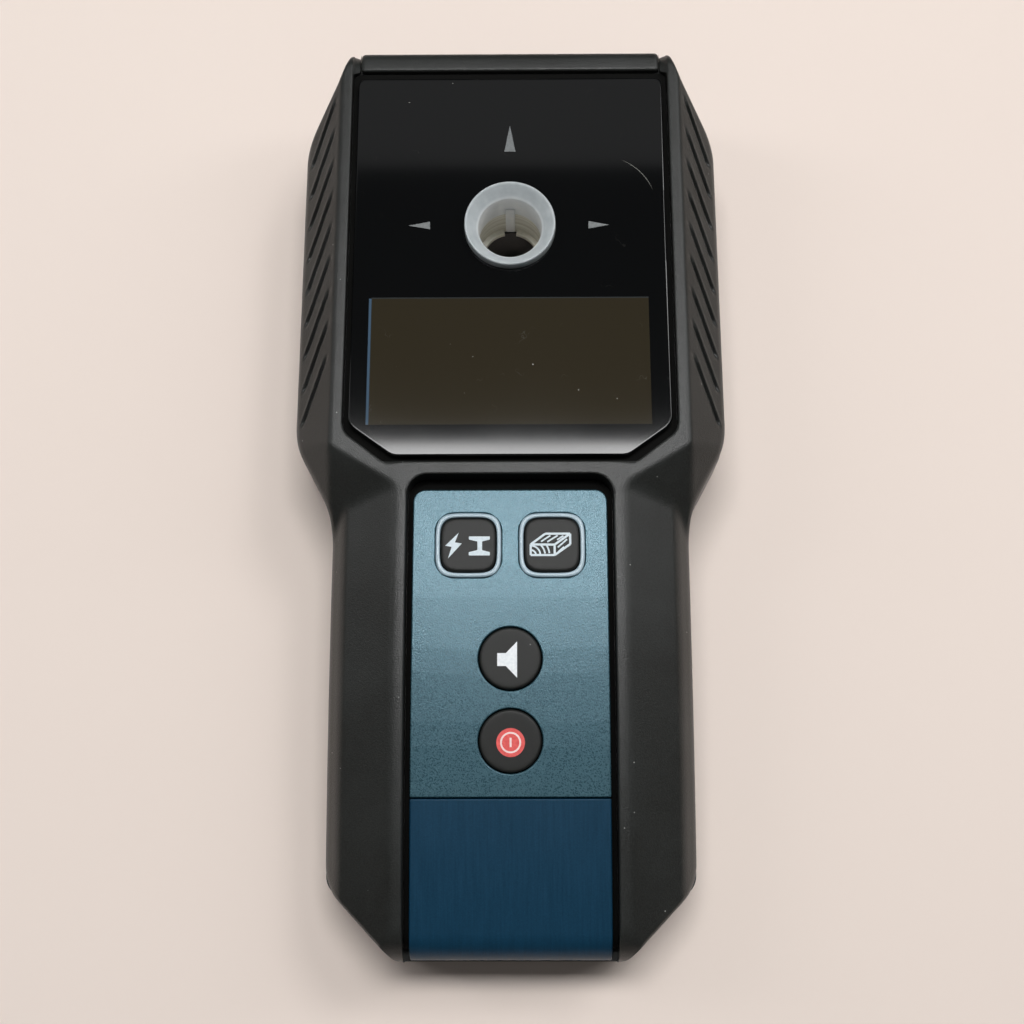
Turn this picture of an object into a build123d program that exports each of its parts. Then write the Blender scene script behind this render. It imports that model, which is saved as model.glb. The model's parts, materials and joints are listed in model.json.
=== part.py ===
from build123d import *
from math import asin, cos, sin
import os

# A hand-held wall scanner lying on its back. Millimetres.
# X runs across, Y along with the sensor head at +Y, Z out of the front face.
# The origin is on the marking hole's axis, on the rear face.

# Overall shape
head_top = 41.2           # the head's top end
head_half = 43.4          # half the head's greatest width
head_top_half = 34.2      # half-width at the top end
head_corner = 23.0        # where the long top corners start
rim_half = 35.2           # half-width of the flat rim round the window
rim_top_half = 33.9       # the same at the top end
shoulder = -43.9          # where the head starts to narrow
shoulder_in = 1.5         # first bend of the outline past the shoulder: across
shoulder_run = 2.9        # and along
rim_shoulder_in = 2.0     # the same for the rim's edge
rim_shoulder_run = 4.0
neck = -58.0              # where it meets the handle
neck_run = 5.0            # the handle is parallel from here on
neck_spread = 0.4         # how much wider it still is at the neck
strip_run = 3.6           # the rim's edge reaches the handle's strip this far above the neck
handle_end = -143.6
end_chamfer = 14.0        # the handle's cut end corners
skin_radius = 450.0       # the handle's front bows towards the rear on this radius
facet_drop = 9.0          # height of the head's sloping sides
split_height = 12.0       # parting plane of the two housings
corner_round = 4.0        # plan corners
end_round = 7.0           # front edge of the handle's end
rear_round = 3.0          # rear outer edge
wall = 2.4
rear_wall = 2.6
plan_trim = 0.3           # what the plan outline trims off the lofted sides

# Handle section: a flat strip beside the panel, a long slope and a steep outer strip
strip_half = 22.0
steep_width = 2.9
slope_drop = 6.0
steep_drop = 11.0

# Bar that closes the head's top end
bumper_half = 31.4
bumper_y = 36.3           # its edge towards the window
bumper_sunk = 0.9
bumper_thick = 1.6
bumper_skirt = 1.8
bumper_low = 18.0
bumper_gap = 0.12

# Window and what is under it
opening_half = 33.0       # half the rim's opening
opening_end = -50.2
opening_cut_x = 8.3       # the opening's cut lower corners
opening_cut_y = 6.4
opening_cut_share = 0.45  # how far an inset moves the ends of that cut
window_gap = 1.2          # black channel between rim and glass
window_top = 34.1
window_round = 1.4
window_sunk = 0.4         # glass below the rim
window_thick = 1.6
gasket_thick = 0.5
gasket_width = 1.6
gasket_gap = 0.1
seat_gap = 0.1            # between stacked flat pieces
ledge_thick = 1.6
display_half = 28.2
display_top = -15.2
display_bottom = -43.3
display_thick = 2.2
backlight_thick = 1.5
holder_floor = 1.0
holder_wall = 1.2
holder_gap = 0.2
holder_post_inset = 2.0   # posts under the display holder, in from its sides

# Marking hole, ring light guide and sleeve
hole_radius = 6.5
ring_radius = 9.25
ring_proud = 1.3          # lip above the rim's plane
ring_cone = 2.4
ring_lip = 0.4
ring_flange_radius = 12.4
ring_flange_thick = 1.2
ring_flange_sunk = 3.0    # flange below the glass
ring_tail = 1.6           # tube below the flange
sleeve_radius = 6.9
sleeve_outer = 8.2
guide_radius = 5.8        # inward lip that guides the pencil
guide_height = 1.2
notch_width = 2.4
rib_width = 2.0
rib_gap = 0.08
boss_height = 13.4        # rear boss under the sleeve
ring_board_thick = 1.0
ring_board_radius = 14.0
led_height = 0.9

ring_gap = 0.12
rib_inner = 6.1
led_circle = 11.0
led_width = 1.6

# Grip grooves on the head's sides
groove_count = 9
groove_pitch = 7.2
groove_first = 23.8       # middle of the first groove
groove_length = 15.5
groove_width = 1.0
groove_lean = 31.0        # degrees off the device's length, in the facet's plane

# Panel, mat and lower cover
recess_half = 20.0
recess_top = -52.7
recess_depth = 4.8
recess_floor = 1.6
recess_round = 4.0
mat_thick = 0.6
mat_gap = 0.1
panel_half = 18.8
panel_top = -55.4
panel_depth = 2.2         # panel below the rim
panel_round = 2.4
seam = -114.2
seam_gap = 0.25
cover_inset = 0.3         # the cover's end, in from the handle's end
cover_round = 6.0

# Keys
mode_key_x = 8.05
mode_key_y = -66.5
mode_key_width = 10.6
mode_key_round = 2.6
bezel_width = 0.9
sound_key_y = -88.5
power_key_y = -103.9
round_key_radius = 5.9
key_gap = 0.2
key_travel = 0.6
key_proud = 0.4
key_round_edge = 0.3
bezel_proud = 0.15
stem_radius = 1.6
stem_gap = 0.5
switch_size = 4.5
switch_height = 1.0
switch_gap = 0.15         # dome to stem beyond the travel

# Boards
board_thick = 1.6
sensor_board_height = 4.5
sensor_board_half = 30.0
sensor_board_top = 36.0
sensor_board_bottom = -44.0
board_half = 20.5
board_top = -57.5
board_bottom = -110.5
board_gap = 0.8           # main board under the recess floor
can_size = 15.0
can_height = 2.6
can_y = -66.5
buzzer_radius = 5.0
buzzer_height = 4.2
flex_width = 12.0
flex_thick = 0.3
cable_shift = 12.0
coil_inner = 10.0
coil_outer = 15.0
coil_height = 4.0
bobbin_wall = 0.8
bobbin_flange = 17.0

# Batteries and their bay
cell_radius = 7.25
cell_length = 49.2
nub_radius = 2.75
nub_height = 1.3
cell_gap = 0.5            # between cells
cell_lift = 0.35          # between the cells and the door's pad
cell_headroom = 0.33      # between the cells and the board's screws
bay_top = -74.0
bay_bottom = -130.0
bay_gap = 0.7             # beside the outer cells
bay_wall = 1.2
screw_lane = 11.1         # from the bay's wall to the handle's side
contact_thick = 0.4
spring_radius = 2.6
spring_wire = 0.35
spring_gap = 0.25
spring_turns = 3.0
pad_thick = 0.4
pad_side = 4.0            # foam pad past the outer cells' axes
pad_length = 30.0
pad_shift = 4.0

# Battery door, its pins and its latch
door_lip = 1.4            # how far the door is wider than the bay
door_top = -71.0
door_bottom = -132.6
door_thick = 1.6
door_gap = 0.25
door_rest = 0.06          # between the door and its ledge
door_barrel = 1.25
door_pin_radius = 0.7
door_pin_length = 1.4
door_pin_gap = 0.06
door_axis_height = 1.3
latch_half = 6.0
latch_length = 4.6
latch_travel = 1.2
latch_gap = 0.12
latch_bridge = 0.6
latch_sunk = 0.1
bridge_reach = 1.6
bridge_side = 2.0         # the bridge is wider than the latch by this, each side

# Fasteners, pads and label
screw_radius = 1.5
screw_head_radius = 2.8
screw_head_height = 2.0
screw_length = 14.0
screw_sink = 4.0          # counterbore under each housing screw
thread_gap = 0.03
screw_gap = 0.2
screw_end_gap = 1.0
boss_radius = 4.3
front_boss_radius = 3.5
small_screw_radius = 0.9
small_head_radius = 1.7
small_head_height = 0.9
small_boss_radius = 2.2
pad_radius = 4.0
end_pad_radius = 3.0
pad_proud = 0.6
pad_sunk = 0.4
label_half = 18.0
label_top = -16.0
label_bottom = -40.0
label_thick = 0.2
label_gap = 0.2

# Widths and heights that follow from the cells and the boards above them
bow_drop = 3.12           # fall of the bowed front at the main board's far end
cell_pitch = 2 * cell_radius + cell_gap
bay_half = 1.5 * cell_pitch + bay_gap
door_half = bay_half + door_lip
handle_half = bay_half + bay_wall + screw_lane
slope_half = handle_half - steep_width
cell_z = door_thick + pad_thick + cell_lift + cell_radius
board_stack = small_head_height + board_thick + board_gap + recess_floor + recess_depth
head_height = cell_z + cell_radius + cell_headroom + board_stack + bow_drop

# Levels and places that follow from the sizes above
rim_z = head_height
glass_top = rim_z - window_sunk
glass_bottom = glass_top - window_thick
ledge_top = glass_bottom - gasket_thick
ledge_bottom = ledge_top - ledge_thick
window_half = opening_half - window_gap
display_z = glass_bottom - seat_gap
backlight_z = display_z - display_thick
holder_z = backlight_z - backlight_thick
ring_top = rim_z + ring_proud
ring_flange_top = glass_bottom - ring_flange_sunk
ring_flange_bottom = ring_flange_top - ring_flange_thick
ring_bottom = ring_flange_bottom - ring_tail
ring_board_z = ring_flange_bottom - led_height - seat_gap
mat_depth = recess_depth - mat_thick
tub_depth = recess_depth + recess_floor
cover_end = handle_end + cover_inset
recess_end = cover_end + mat_depth - panel_depth + mat_thick
mid_round = cover_round - (mat_depth - panel_depth)
screw_places = [
    (side * x, y)
    for side in (-1, 1)
    for x, y in (
        (36.4, 18.0),
        (36.4, -37.0),
        (handle_half - 6.1, -66.0),
        (handle_half - 6.1, handle_end + 17.6),
    )
]
sensor_posts = [(-24.0, 30.0), (24.0, 30.0), (-24.0, -30.0), (24.0, -30.0)]
board_posts = [(-17.5, -60.5), (17.5, -60.5), (-17.5, -107.5), (17.5, -107.5)]
pad_places = [(-29.5, 31.0), (29.5, 31.0), (-34.0, -24.0), (34.0, -24.0)]
end_pad_places = [(-15.0, handle_end + 6.7), (15.0, handle_end + 6.7)]
mode_keys = [(-mode_key_x, mode_key_y), (mode_key_x, mode_key_y)]
round_keys = [sound_key_y, power_key_y]
key_places = mode_keys + [(0.0, y) for y in round_keys]
mode_inner = mode_key_width + 2 * key_gap
mode_ring = mode_inner + 2 * bezel_width
cell_places = [-cell_pitch, 0.0, cell_pitch]
cell_y = (bay_top + bay_bottom) / 2


def skin_z(y, depth=0.0):
    """Height of the surface that lies depth under the handle's front, at y."""
    along = max(0.0, neck - y)
    return rim_z - skin_radius + ((skin_radius - depth) ** 2 - along**2) ** 0.5


def skin_plane(x, y, depth=0.0):
    """Plane that lies in the handle's front at y, sunk by depth, with its Z outwards."""
    angle = asin(max(0.0, neck - y) / skin_radius)
    low = skin_radius - (skin_radius**2 - max(0.0, neck - y) ** 2) ** 0.5
    origin = (x, y + depth * sin(angle), rim_z - low - depth * cos(angle))
    return Plane(origin=origin, x_dir=(1, 0, 0), z_dir=(0, -sin(angle), cos(angle)))


def both_sides(points):
    """The right-hand points and their mirror images, as one closed outline."""
    return points + [(-x, y) for x, y in reversed(points)]


def plan_face(inset=0.0):
    """The device's plan outline with rounded corners, drawn in by inset."""
    points = [
        (head_top_half, head_top),
        (head_half, head_corner),
        (head_half, shoulder),
        (handle_half + neck_spread, neck),
        (handle_half, neck - neck_run),
        (handle_half, handle_end + end_chamfer),
        (handle_half - end_chamfer, handle_end),
    ]
    with BuildSketch() as plan:
        with BuildLine():
            Polyline(*both_sides(points), close=True)
        make_face()
        fillet(plan.vertices(), corner_round)
        if inset:
            offset(amount=-inset, kind=Kind.INTERSECTION, mode=Mode.REPLACE)
    return plan.sketch


def opening_face(inset=0.0, top=head_top + 5.0):
    """The window opening's outline, drawn in by inset, up to top."""
    cut = inset * opening_cut_share
    points = [
        (opening_half - inset, top),
        (opening_half - inset, opening_end + opening_cut_y + cut),
        (opening_half - opening_cut_x - cut, opening_end + inset),
    ]
    with BuildSketch() as outline:
        with BuildLine():
            Polyline(*both_sides(points), close=True)
        make_face()
    return outline.sketch


def side_region(depth, end, corner, low=-5.0):
    """Solid under the surface that lies depth under the front, up to the bottom end."""
    radius = skin_radius - depth
    top = rim_z - depth
    end_z = skin_z(end, depth)
    with BuildPart() as region:
        with BuildSketch(Plane.YZ) as profile:
            with BuildLine():
                Line((head_top + 10, low), (head_top + 10, top))
                Line((head_top + 10, top), (neck, top))
                RadiusArc((neck, top), (end, end_z), -radius)
                Line((end, end_z), (end, low))
                Line((end, low), (head_top + 10, low))
            make_face()
            corner_point = profile.vertices().sort_by(Axis.X)[:2].sort_by(Axis.Y)[-1]
            fillet(corner_point, corner)
        extrude(amount=head_half + 10, both=True)
    return region.part


def grip_sweep(section):
    """A closed section, in (across, up from the front), carried along the bowed handle."""
    start = neck + 8.0
    with BuildPart() as swept:
        with BuildLine(Plane.YZ) as spine:
            straight = Line((start, rim_z), (neck, rim_z))
            JernArc(straight @ 1, straight % 1, skin_radius, 12.0)
        plane = Plane(origin=(0, start, rim_z), x_dir=(1, 0, 0), z_dir=(0, -1, 0))
        with BuildSketch(plane):
            with BuildLine():
                Polyline(*section, close=True)
            make_face()
        sweep(path=spine.line)
    return swept.part


def body_form(inset, top_inset):
    """The outer form from the parting plane up, drawn in by inset at the sides."""
    rim = rim_half - inset
    outer = head_half - inset + plan_trim
    side = handle_half - inset + plan_trim
    top = head_top - inset + plan_trim
    facet_z = rim_z - facet_drop - top_inset * 0.6
    diagonal = inset * 0.5
    low = [
        (head_top_half - inset + plan_trim, top),
        (outer, head_corner - diagonal),
        (outer, shoulder + diagonal),
        (outer - shoulder_in, shoulder - shoulder_run + diagonal),
        (side + neck_spread, neck),
        (side, neck - neck_run),
    ]
    high = [
        (rim_top_half - inset, top),
        (rim, head_corner - diagonal),
        (rim, shoulder + diagonal),
        (rim - rim_shoulder_in, shoulder - rim_shoulder_run + diagonal),
        (strip_half + neck_spread - inset, neck + strip_run + diagonal),
        (strip_half - inset, neck - neck_run),
    ]
    with BuildPart() as form:
        with BuildSketch(Plane.XY.offset(facet_z)):
            with BuildLine():
                Polyline(*both_sides(low), close=True)
            make_face()
        with BuildSketch(Plane.XY.offset(rim_z - top_inset)):
            with BuildLine():
                Polyline(*both_sides(high), close=True)
            make_face()
        loft(ruled=True)
        with BuildSketch(Plane.XY):
            with BuildLine():
                Polyline(*both_sides(low), close=True)
            make_face()
        extrude(amount=facet_z)
        strip = strip_half - inset * 0.3
        section = [
            (strip, -top_inset),
            (slope_half - inset * 0.8, -slope_drop - top_inset),
            (side, -steep_drop - top_inset * 0.5),
            (side, -head_height - 2.0),
        ]
        add(grip_sweep(both_sides(section)))
        with BuildSketch():
            add(plan_face(inset))
        extrude(amount=head_height + 5, both=True, mode=Mode.INTERSECT)
        add(side_region(top_inset, handle_end + inset, end_round - inset), mode=Mode.INTERSECT)
    return form.part


def strip_box(half, low_y, high_y, corner=0.0):
    """A tall block across the handle between two places, with rounded head-side corners."""
    with BuildPart() as block:
        with BuildSketch(Plane.XY.offset(split_height)):
            with BuildLine():
                Polyline((-half, low_y), (half, low_y), (half, high_y), (-half, high_y), close=True)
            make_face()
        extrude(amount=head_height + 10)
        if corner:
            fillet(block.edges().filter_by(Axis.Z).group_by(Axis.Y)[-1], corner)
    return block.part


def layer(half, low_y, high_y, top_depth, thick, end, corner_radius, plan_corner=0.0):
    """A bowed sheet across the handle, top_depth under the front, rolled over at the end."""
    with BuildPart() as sheet:
        add(strip_box(half, low_y, high_y, plan_corner))
        add(side_region(top_depth, end, corner_radius), mode=Mode.INTERSECT)
        below = side_region(top_depth + thick, end + thick, corner_radius - thick)
        add(below, mode=Mode.SUBTRACT)
    return sheet.part


def bumper_space(gap):
    """The bar over the top end: a flat flange and a skirt down the end face."""
    top = rim_z - bumper_sunk
    section = [
        (bumper_y - gap, top + (head_height if gap else 0.0)),
        (head_top + gap, top + (head_height if gap else 0.0)),
        (head_top + gap, bumper_low - gap),
        (head_top - bumper_skirt - gap, bumper_low - gap),
        (head_top - bumper_skirt - gap, top - bumper_thick - gap),
        (bumper_y - gap, top - bumper_thick - gap),
    ]
    with BuildPart() as space:
        with BuildSketch(Plane.YZ):
            with BuildLine():
                Polyline(*section, close=True)
            make_face()
        extrude(amount=bumper_half + gap, both=True)
    return space.part


board_z = skin_z(board_bottom, tub_depth) - board_gap - board_thick
outer_form = body_form(0.0, 0.0)
cavity_form = body_form(wall, wall)

# Front housing: shell, window ledge, key recess and screw bosses
with BuildPart() as bosses:
    with BuildSketch(Plane.XY.offset(split_height)):
        with Locations(*screw_places):
            Circle(front_boss_radius)
    extrude(amount=head_height)
    add(outer_form, mode=Mode.INTERSECT)

with BuildPart() as ledge:
    with BuildSketch(Plane.XY.offset(ledge_bottom)):
        add(opening_face(-wall, head_top))
    extrude(amount=ledge_thick)
    add(outer_form, mode=Mode.INTERSECT)

with BuildPart() as tub:
    add(strip_box(strip_half, handle_end - 5, recess_top + wall))
    add(side_region(tub_depth, recess_end + recess_floor, mid_round - 0.6), mode=Mode.SUBTRACT)
    add(outer_form, mode=Mode.INTERSECT)

with BuildPart() as recess:
    add(strip_box(recess_half, handle_end - 5, recess_top, recess_round))
    add(side_region(recess_depth, recess_end, mid_round), mode=Mode.SUBTRACT)

with BuildPart() as posts:
    with BuildSketch(Plane.XY.offset(board_z + board_thick)):
        with Locations(*board_posts):
            Circle(small_boss_radius)
    extrude(amount=head_height)
    add(side_region(recess_depth + recess_floor / 2, recess_end, mid_round), mode=Mode.INTERSECT)
    with BuildSketch(Plane.XY.offset(board_z + board_thick)):
        with Locations(*board_posts):
            Circle(small_screw_radius + thread_gap)
    extrude(amount=head_height, mode=Mode.SUBTRACT)

with BuildPart() as grooves:
    for side in (-1, 1):
        for i in range(groove_count):
            middle = (side * (rim_half + head_half) / 2, groove_first - i * groove_pitch)
            plane = Plane(
                origin=(middle[0], middle[1], rim_z - facet_drop / 2),
                x_dir=(0, 1, 0),
                z_dir=(side * facet_drop, 0, head_half - rim_half),
            )
            with BuildSketch(plane.rotated((0, 0, side * groove_lean))):
                Rectangle(groove_length, groove_width)
            extrude(amount=groove_width, both=True)

with BuildPart() as front_housing:
    add(outer_form)
    add(cavity_form, mode=Mode.SUBTRACT)
    add(ledge.part)
    add(tub.part)
    add(bosses.part)
    add(posts.part)
    split(bisect_by=Plane.XY.offset(split_height), keep=Keep.TOP)
    add(recess.part, mode=Mode.SUBTRACT)
    with BuildSketch(Plane.XY.offset(ledge_top)):
        add(opening_face(0.0, bumper_y))
    extrude(amount=head_height, mode=Mode.SUBTRACT)
    with BuildSketch(Plane.XY.offset(split_height)):
        add(opening_face(window_gap + gasket_width, window_top - gasket_width))
    extrude(amount=head_height, mode=Mode.SUBTRACT)
    with BuildSketch(Plane.XY.offset(split_height)):
        with Locations(*screw_places):
            Circle(screw_radius + thread_gap)
    extrude(amount=screw_sink + screw_length - split_height + screw_end_gap, mode=Mode.SUBTRACT)
    for x, y in key_places:
        with Locations(skin_plane(x, y, tub_depth).location):
            Cylinder(stem_radius + stem_gap, 4 * recess_floor, mode=Mode.SUBTRACT)
    add(grooves.part, mode=Mode.SUBTRACT)
    add(bumper_space(bumper_gap), mode=Mode.SUBTRACT)

with BuildPart() as top_bumper:
    add(bumper_space(0.0))

# Rear housing: tray, marking-hole boss, screw bosses, battery bay and door pocket
with BuildPart() as rear_housing:
    with BuildSketch():
        add(plan_face())
    extrude(amount=split_height)
    fillet(rear_housing.faces().sort_by(Axis.Z)[0].edges(), rear_round)
    with BuildSketch(Plane.XY.offset(rear_wall)):
        add(plan_face(wall))
    extrude(amount=head_height, mode=Mode.SUBTRACT)
    with BuildSketch():
        Circle(sleeve_outer)
    extrude(amount=boss_height)
    with BuildSketch():
        with Locations(*screw_places):
            Circle(boss_radius)
    extrude(amount=split_height)
    with BuildSketch(Plane.XY.offset(rear_wall)):
        with Locations(*sensor_posts):
            Circle(small_boss_radius)
    extrude(amount=sensor_board_height - rear_wall)
    bay_middle = (bay_top + bay_bottom) / 2
    bay_length = bay_top - bay_bottom
    with BuildSketch(Plane.XY.offset(0.1)):
        with Locations((0, bay_middle)):
            Rectangle(2 * (bay_half + bay_wall), bay_length + 2 * bay_wall)
            Rectangle(2 * bay_half, bay_length, mode=Mode.SUBTRACT)
    extrude(amount=split_height - 0.1)
    with BuildSketch():
        with Locations((0, bay_middle)):
            Rectangle(2 * bay_half, bay_length)
    extrude(amount=rear_wall, mode=Mode.SUBTRACT)
    with BuildSketch():
        with Locations((0, (door_top + door_bottom + door_barrel) / 2)):
            Rectangle(2 * (door_half + door_gap), door_top - door_bottom + door_barrel + 2 * door_gap)
    extrude(amount=door_thick + door_rest, mode=Mode.SUBTRACT)
    with BuildSketch():
        with Locations((0, door_top)):
            Rectangle(2 * (door_half + door_gap), 2 * (door_barrel + door_gap))
    extrude(amount=rear_wall, mode=Mode.SUBTRACT)
    with Locations(Pos(0, door_top, door_axis_height)):
        Cylinder(
            door_pin_radius + door_pin_gap,
            2 * (door_half + door_pin_length + door_gap),
            rotation=(0, 90, 0),
            mode=Mode.SUBTRACT,
        )
    with BuildSketch():
        Circle(hole_radius)
    extrude(amount=boss_height, mode=Mode.SUBTRACT)
    with BuildSketch():
        with Locations(*screw_places):
            Circle(screw_head_radius + screw_gap)
    extrude(amount=screw_sink, mode=Mode.SUBTRACT)
    with BuildSketch():
        with Locations(*screw_places):
            Circle(screw_radius + screw_gap)
    extrude(amount=split_height, mode=Mode.SUBTRACT)
    with BuildSketch(Plane.XY.offset(rear_wall - 1.0)):
        with Locations(*sensor_posts):
            Circle(small_screw_radius + thread_gap)
    extrude(amount=sensor_board_height, mode=Mode.SUBTRACT)
    with BuildSketch():
        with Locations(*pad_places):
            Circle(pad_radius)
        with Locations(*end_pad_places):
            Circle(end_pad_radius)
    extrude(amount=pad_sunk, mode=Mode.SUBTRACT)
    with BuildSketch():
        with Locations((0, (label_top + label_bottom) / 2)):
            Rectangle(2 * label_half, label_top - label_bottom)
    extrude(amount=label_thick, mode=Mode.SUBTRACT)

with BuildPart() as glide_pads:
    with BuildSketch(Plane.XY.offset(-pad_proud)):
        with Locations(*pad_places):
            Circle(pad_radius)
        with Locations(*end_pad_places):
            Circle(end_pad_radius)
    extrude(amount=pad_proud + pad_sunk)

with BuildPart() as rear_label:
    with BuildSketch():
        with Locations((0, (label_top + label_bottom) / 2)):
            Rectangle(2 * (label_half - label_gap), label_top - label_bottom - 2 * label_gap)
    extrude(amount=label_thick)

# Window, its gasket and the display stack
with BuildPart() as window:
    with BuildSketch(Plane.XY.offset(glass_bottom)):
        add(opening_face(window_gap, window_top))
        Circle(ring_radius + ring_gap, mode=Mode.SUBTRACT)
    extrude(amount=window_thick)
    fillet(window.edges().filter_by(Axis.Z).sort_by(Axis.Y)[-2:], window_round)

with BuildPart() as window_gasket:
    with BuildSketch(Plane.XY.offset(ledge_top)):
        add(opening_face(gasket_gap, bumper_y - bumper_gap - gasket_gap))
        add(opening_face(window_gap + gasket_width, window_top - gasket_width), mode=Mode.SUBTRACT)
    extrude(amount=gasket_thick)

display_middle = (display_top + display_bottom) / 2
display_length = display_top - display_bottom
holder_outer_x = display_half + holder_wall + holder_gap
holder_outer_y = display_length / 2 + holder_wall + holder_gap
post_spread_x = 2 * (display_half - 2 * holder_post_inset)
post_spread_y = display_length - 2 * holder_post_inset
with BuildPart() as display:
    with BuildSketch(Plane.XY.offset(backlight_z)):
        with Locations((0, display_middle)):
            Rectangle(2 * display_half, display_length)
    extrude(amount=display_thick)

with BuildPart() as display_backlight:
    with BuildSketch(Plane.XY.offset(holder_z)):
        with Locations((0, display_middle)):
            Rectangle(2 * display_half, display_length)
    extrude(amount=backlight_thick)

with BuildPart() as display_holder:
    with BuildSketch(Plane.XY.offset(holder_z - holder_floor)):
        with Locations((0, display_middle)):
            Rectangle(2 * holder_outer_x, 2 * holder_outer_y)
    extrude(amount=ledge_bottom - seat_gap - holder_z + holder_floor)
    with BuildSketch(Plane.XY.offset(holder_z)):
        with Locations((0, display_middle)):
            Rectangle(2 * (display_half + holder_gap), display_length + 2 * holder_gap)
    extrude(amount=head_height, mode=Mode.SUBTRACT)
    with BuildSketch(Plane.XY.offset(sensor_board_height + board_thick)):
        with Locations((0, display_middle)):
            with GridLocations(post_spread_x, post_spread_y, 2, 2):
                Circle(small_boss_radius)
    extrude(amount=holder_z - holder_floor - sensor_board_height - board_thick)

# Marking ring with its rib, sleeve, ring board and its lights
bore_step = ring_top - ring_cone
with BuildPart() as marking_ring:
    with BuildSketch(Plane.XZ):
        with BuildLine():
            Polyline(
                (hole_radius, ring_bottom),
                (hole_radius, bore_step),
                (ring_radius - ring_lip, ring_top),
                (ring_radius, ring_top),
                (ring_radius, ring_flange_top),
                (ring_flange_radius, ring_flange_top),
                (ring_flange_radius, ring_flange_bottom),
                (sleeve_outer - 0.2, ring_flange_bottom),
                (sleeve_outer - 0.2, ring_bottom),
                close=True,
            )
        make_face()
    revolve(axis=Axis.Z)
    with BuildSketch(Plane.XY.offset(boss_height + guide_height + 0.2)):
        with Locations((0, (rib_inner + sleeve_radius - rib_gap) / 2)):
            Rectangle(rib_width, sleeve_radius - rib_gap - rib_inner)
    extrude(amount=ring_bottom - boss_height - guide_height + 1.0)

with BuildPart() as hole_sleeve:
    with BuildSketch(Plane.XZ):
        with BuildLine():
            Polyline(
                (guide_radius, boss_height),
                (sleeve_outer, boss_height),
                (sleeve_outer, ring_board_z - ring_board_thick - 1.2),
                (sleeve_outer + 2.0, ring_board_z - ring_board_thick - 1.2),
                (sleeve_outer + 2.0, ring_board_z - ring_board_thick),
                (sleeve_outer, ring_board_z - ring_board_thick),
                (sleeve_outer, ring_bottom),
                (sleeve_radius, ring_bottom),
                (sleeve_radius, boss_height + guide_height),
                (guide_radius, boss_height + guide_height),
                close=True,
            )
        make_face()
    revolve(axis=Axis.Z)
    with BuildSketch(Plane.XY.offset(boss_height)):
        with Locations((0, sleeve_radius / 2)):
            Rectangle(notch_width, sleeve_radius)
    extrude(amount=guide_height, mode=Mode.SUBTRACT)

with BuildPart() as ring_board:
    with BuildSketch(Plane.XY.offset(ring_board_z - ring_board_thick)):
        Circle(ring_board_radius)
        Circle(sleeve_outer + 0.3, mode=Mode.SUBTRACT)
    extrude(amount=ring_board_thick)

with BuildPart() as ring_leds:
    with BuildSketch(Plane.XY.offset(ring_board_z)):
        with PolarLocations(led_circle, 3, 90):
            Rectangle(led_width, led_width * 1.6)
    extrude(amount=led_height)

# Sensor board, coil and bobbin round the marking hole
with BuildPart() as sensor_board:
    with BuildSketch(Plane.XY.offset(sensor_board_height)):
        with Locations((0, (sensor_board_top + sensor_board_bottom) / 2)):
            Rectangle(2 * sensor_board_half, sensor_board_top - sensor_board_bottom)
        Circle(sleeve_outer + 0.5, mode=Mode.SUBTRACT)
        with Locations(*sensor_posts):
            Circle(small_screw_radius + screw_gap, mode=Mode.SUBTRACT)
    extrude(amount=board_thick)

bobbin_z = sensor_board_height + board_thick
with BuildPart() as coil_bobbin:
    with BuildSketch(Plane.XY.offset(bobbin_z)):
        Circle(bobbin_flange)
        Circle(coil_inner - bobbin_wall, mode=Mode.SUBTRACT)
    extrude(amount=coil_height + 2 * bobbin_wall)
    with BuildSketch(Plane.XY.offset(bobbin_z + bobbin_wall)):
        Circle(bobbin_flange)
        Circle(coil_inner, mode=Mode.SUBTRACT)
    extrude(amount=coil_height, mode=Mode.SUBTRACT)

with BuildPart() as sensor_coil:
    with BuildSketch(Plane.XY.offset(bobbin_z + bobbin_wall)):
        Circle(coil_outer)
        Circle(coil_inner, mode=Mode.SUBTRACT)
    extrude(amount=coil_height)

# Main board and what is on it
with BuildPart() as main_board:
    with BuildSketch(Plane.XY.offset(board_z)):
        with Locations((0, (board_top + board_bottom) / 2)):
            Rectangle(2 * board_half, board_top - board_bottom)
        with Locations(*board_posts):
            Circle(small_screw_radius + screw_gap, mode=Mode.SUBTRACT)
    extrude(amount=board_thick)

with BuildPart() as tact_switches:
    with BuildSketch(Plane.XY.offset(board_z + board_thick)):
        with Locations(*key_places):
            Rectangle(switch_size, switch_size)
    extrude(amount=switch_height)

with BuildPart() as shield_can:
    with BuildSketch(Plane.XY.offset(board_z - can_height)):
        with Locations((-can_size / 2 - 0.4, can_y)):
            Rectangle(can_size, can_size * 0.8)
    extrude(amount=can_height)

with BuildPart() as buzzer:
    with BuildSketch(Plane.XY.offset(board_z - buzzer_height)):
        with Locations((buzzer_radius + 3.0, can_y)):
            Circle(buzzer_radius)
            Circle(1.0, mode=Mode.SUBTRACT)
    extrude(amount=buzzer_height)


def strip_along(points, width, thick, shift=0.0):
    """A thin bent strip: points in (along, up), joined by straight runs with a flat section."""
    with BuildPart() as strip_part:
        with BuildSketch(Plane.YZ.offset(shift - width / 2)):
            with BuildLine():
                path = Polyline(*points)
                offset(path, amount=thick, side=Side.LEFT)
            make_face()
        extrude(amount=width)
    return strip_part.part


with BuildPart() as display_flex:
    add(
        strip_along(
            [
                (display_bottom - holder_wall - 0.5, holder_z - holder_floor - 0.1),
                (display_bottom - 6.0, holder_z - holder_floor - 0.4),
                (board_top - 1.0, board_z + board_thick + 0.6),
                (board_top - 4.0, board_z + board_thick + 0.6),
            ],
            flex_width,
            flex_thick,
        )
    )

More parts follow.
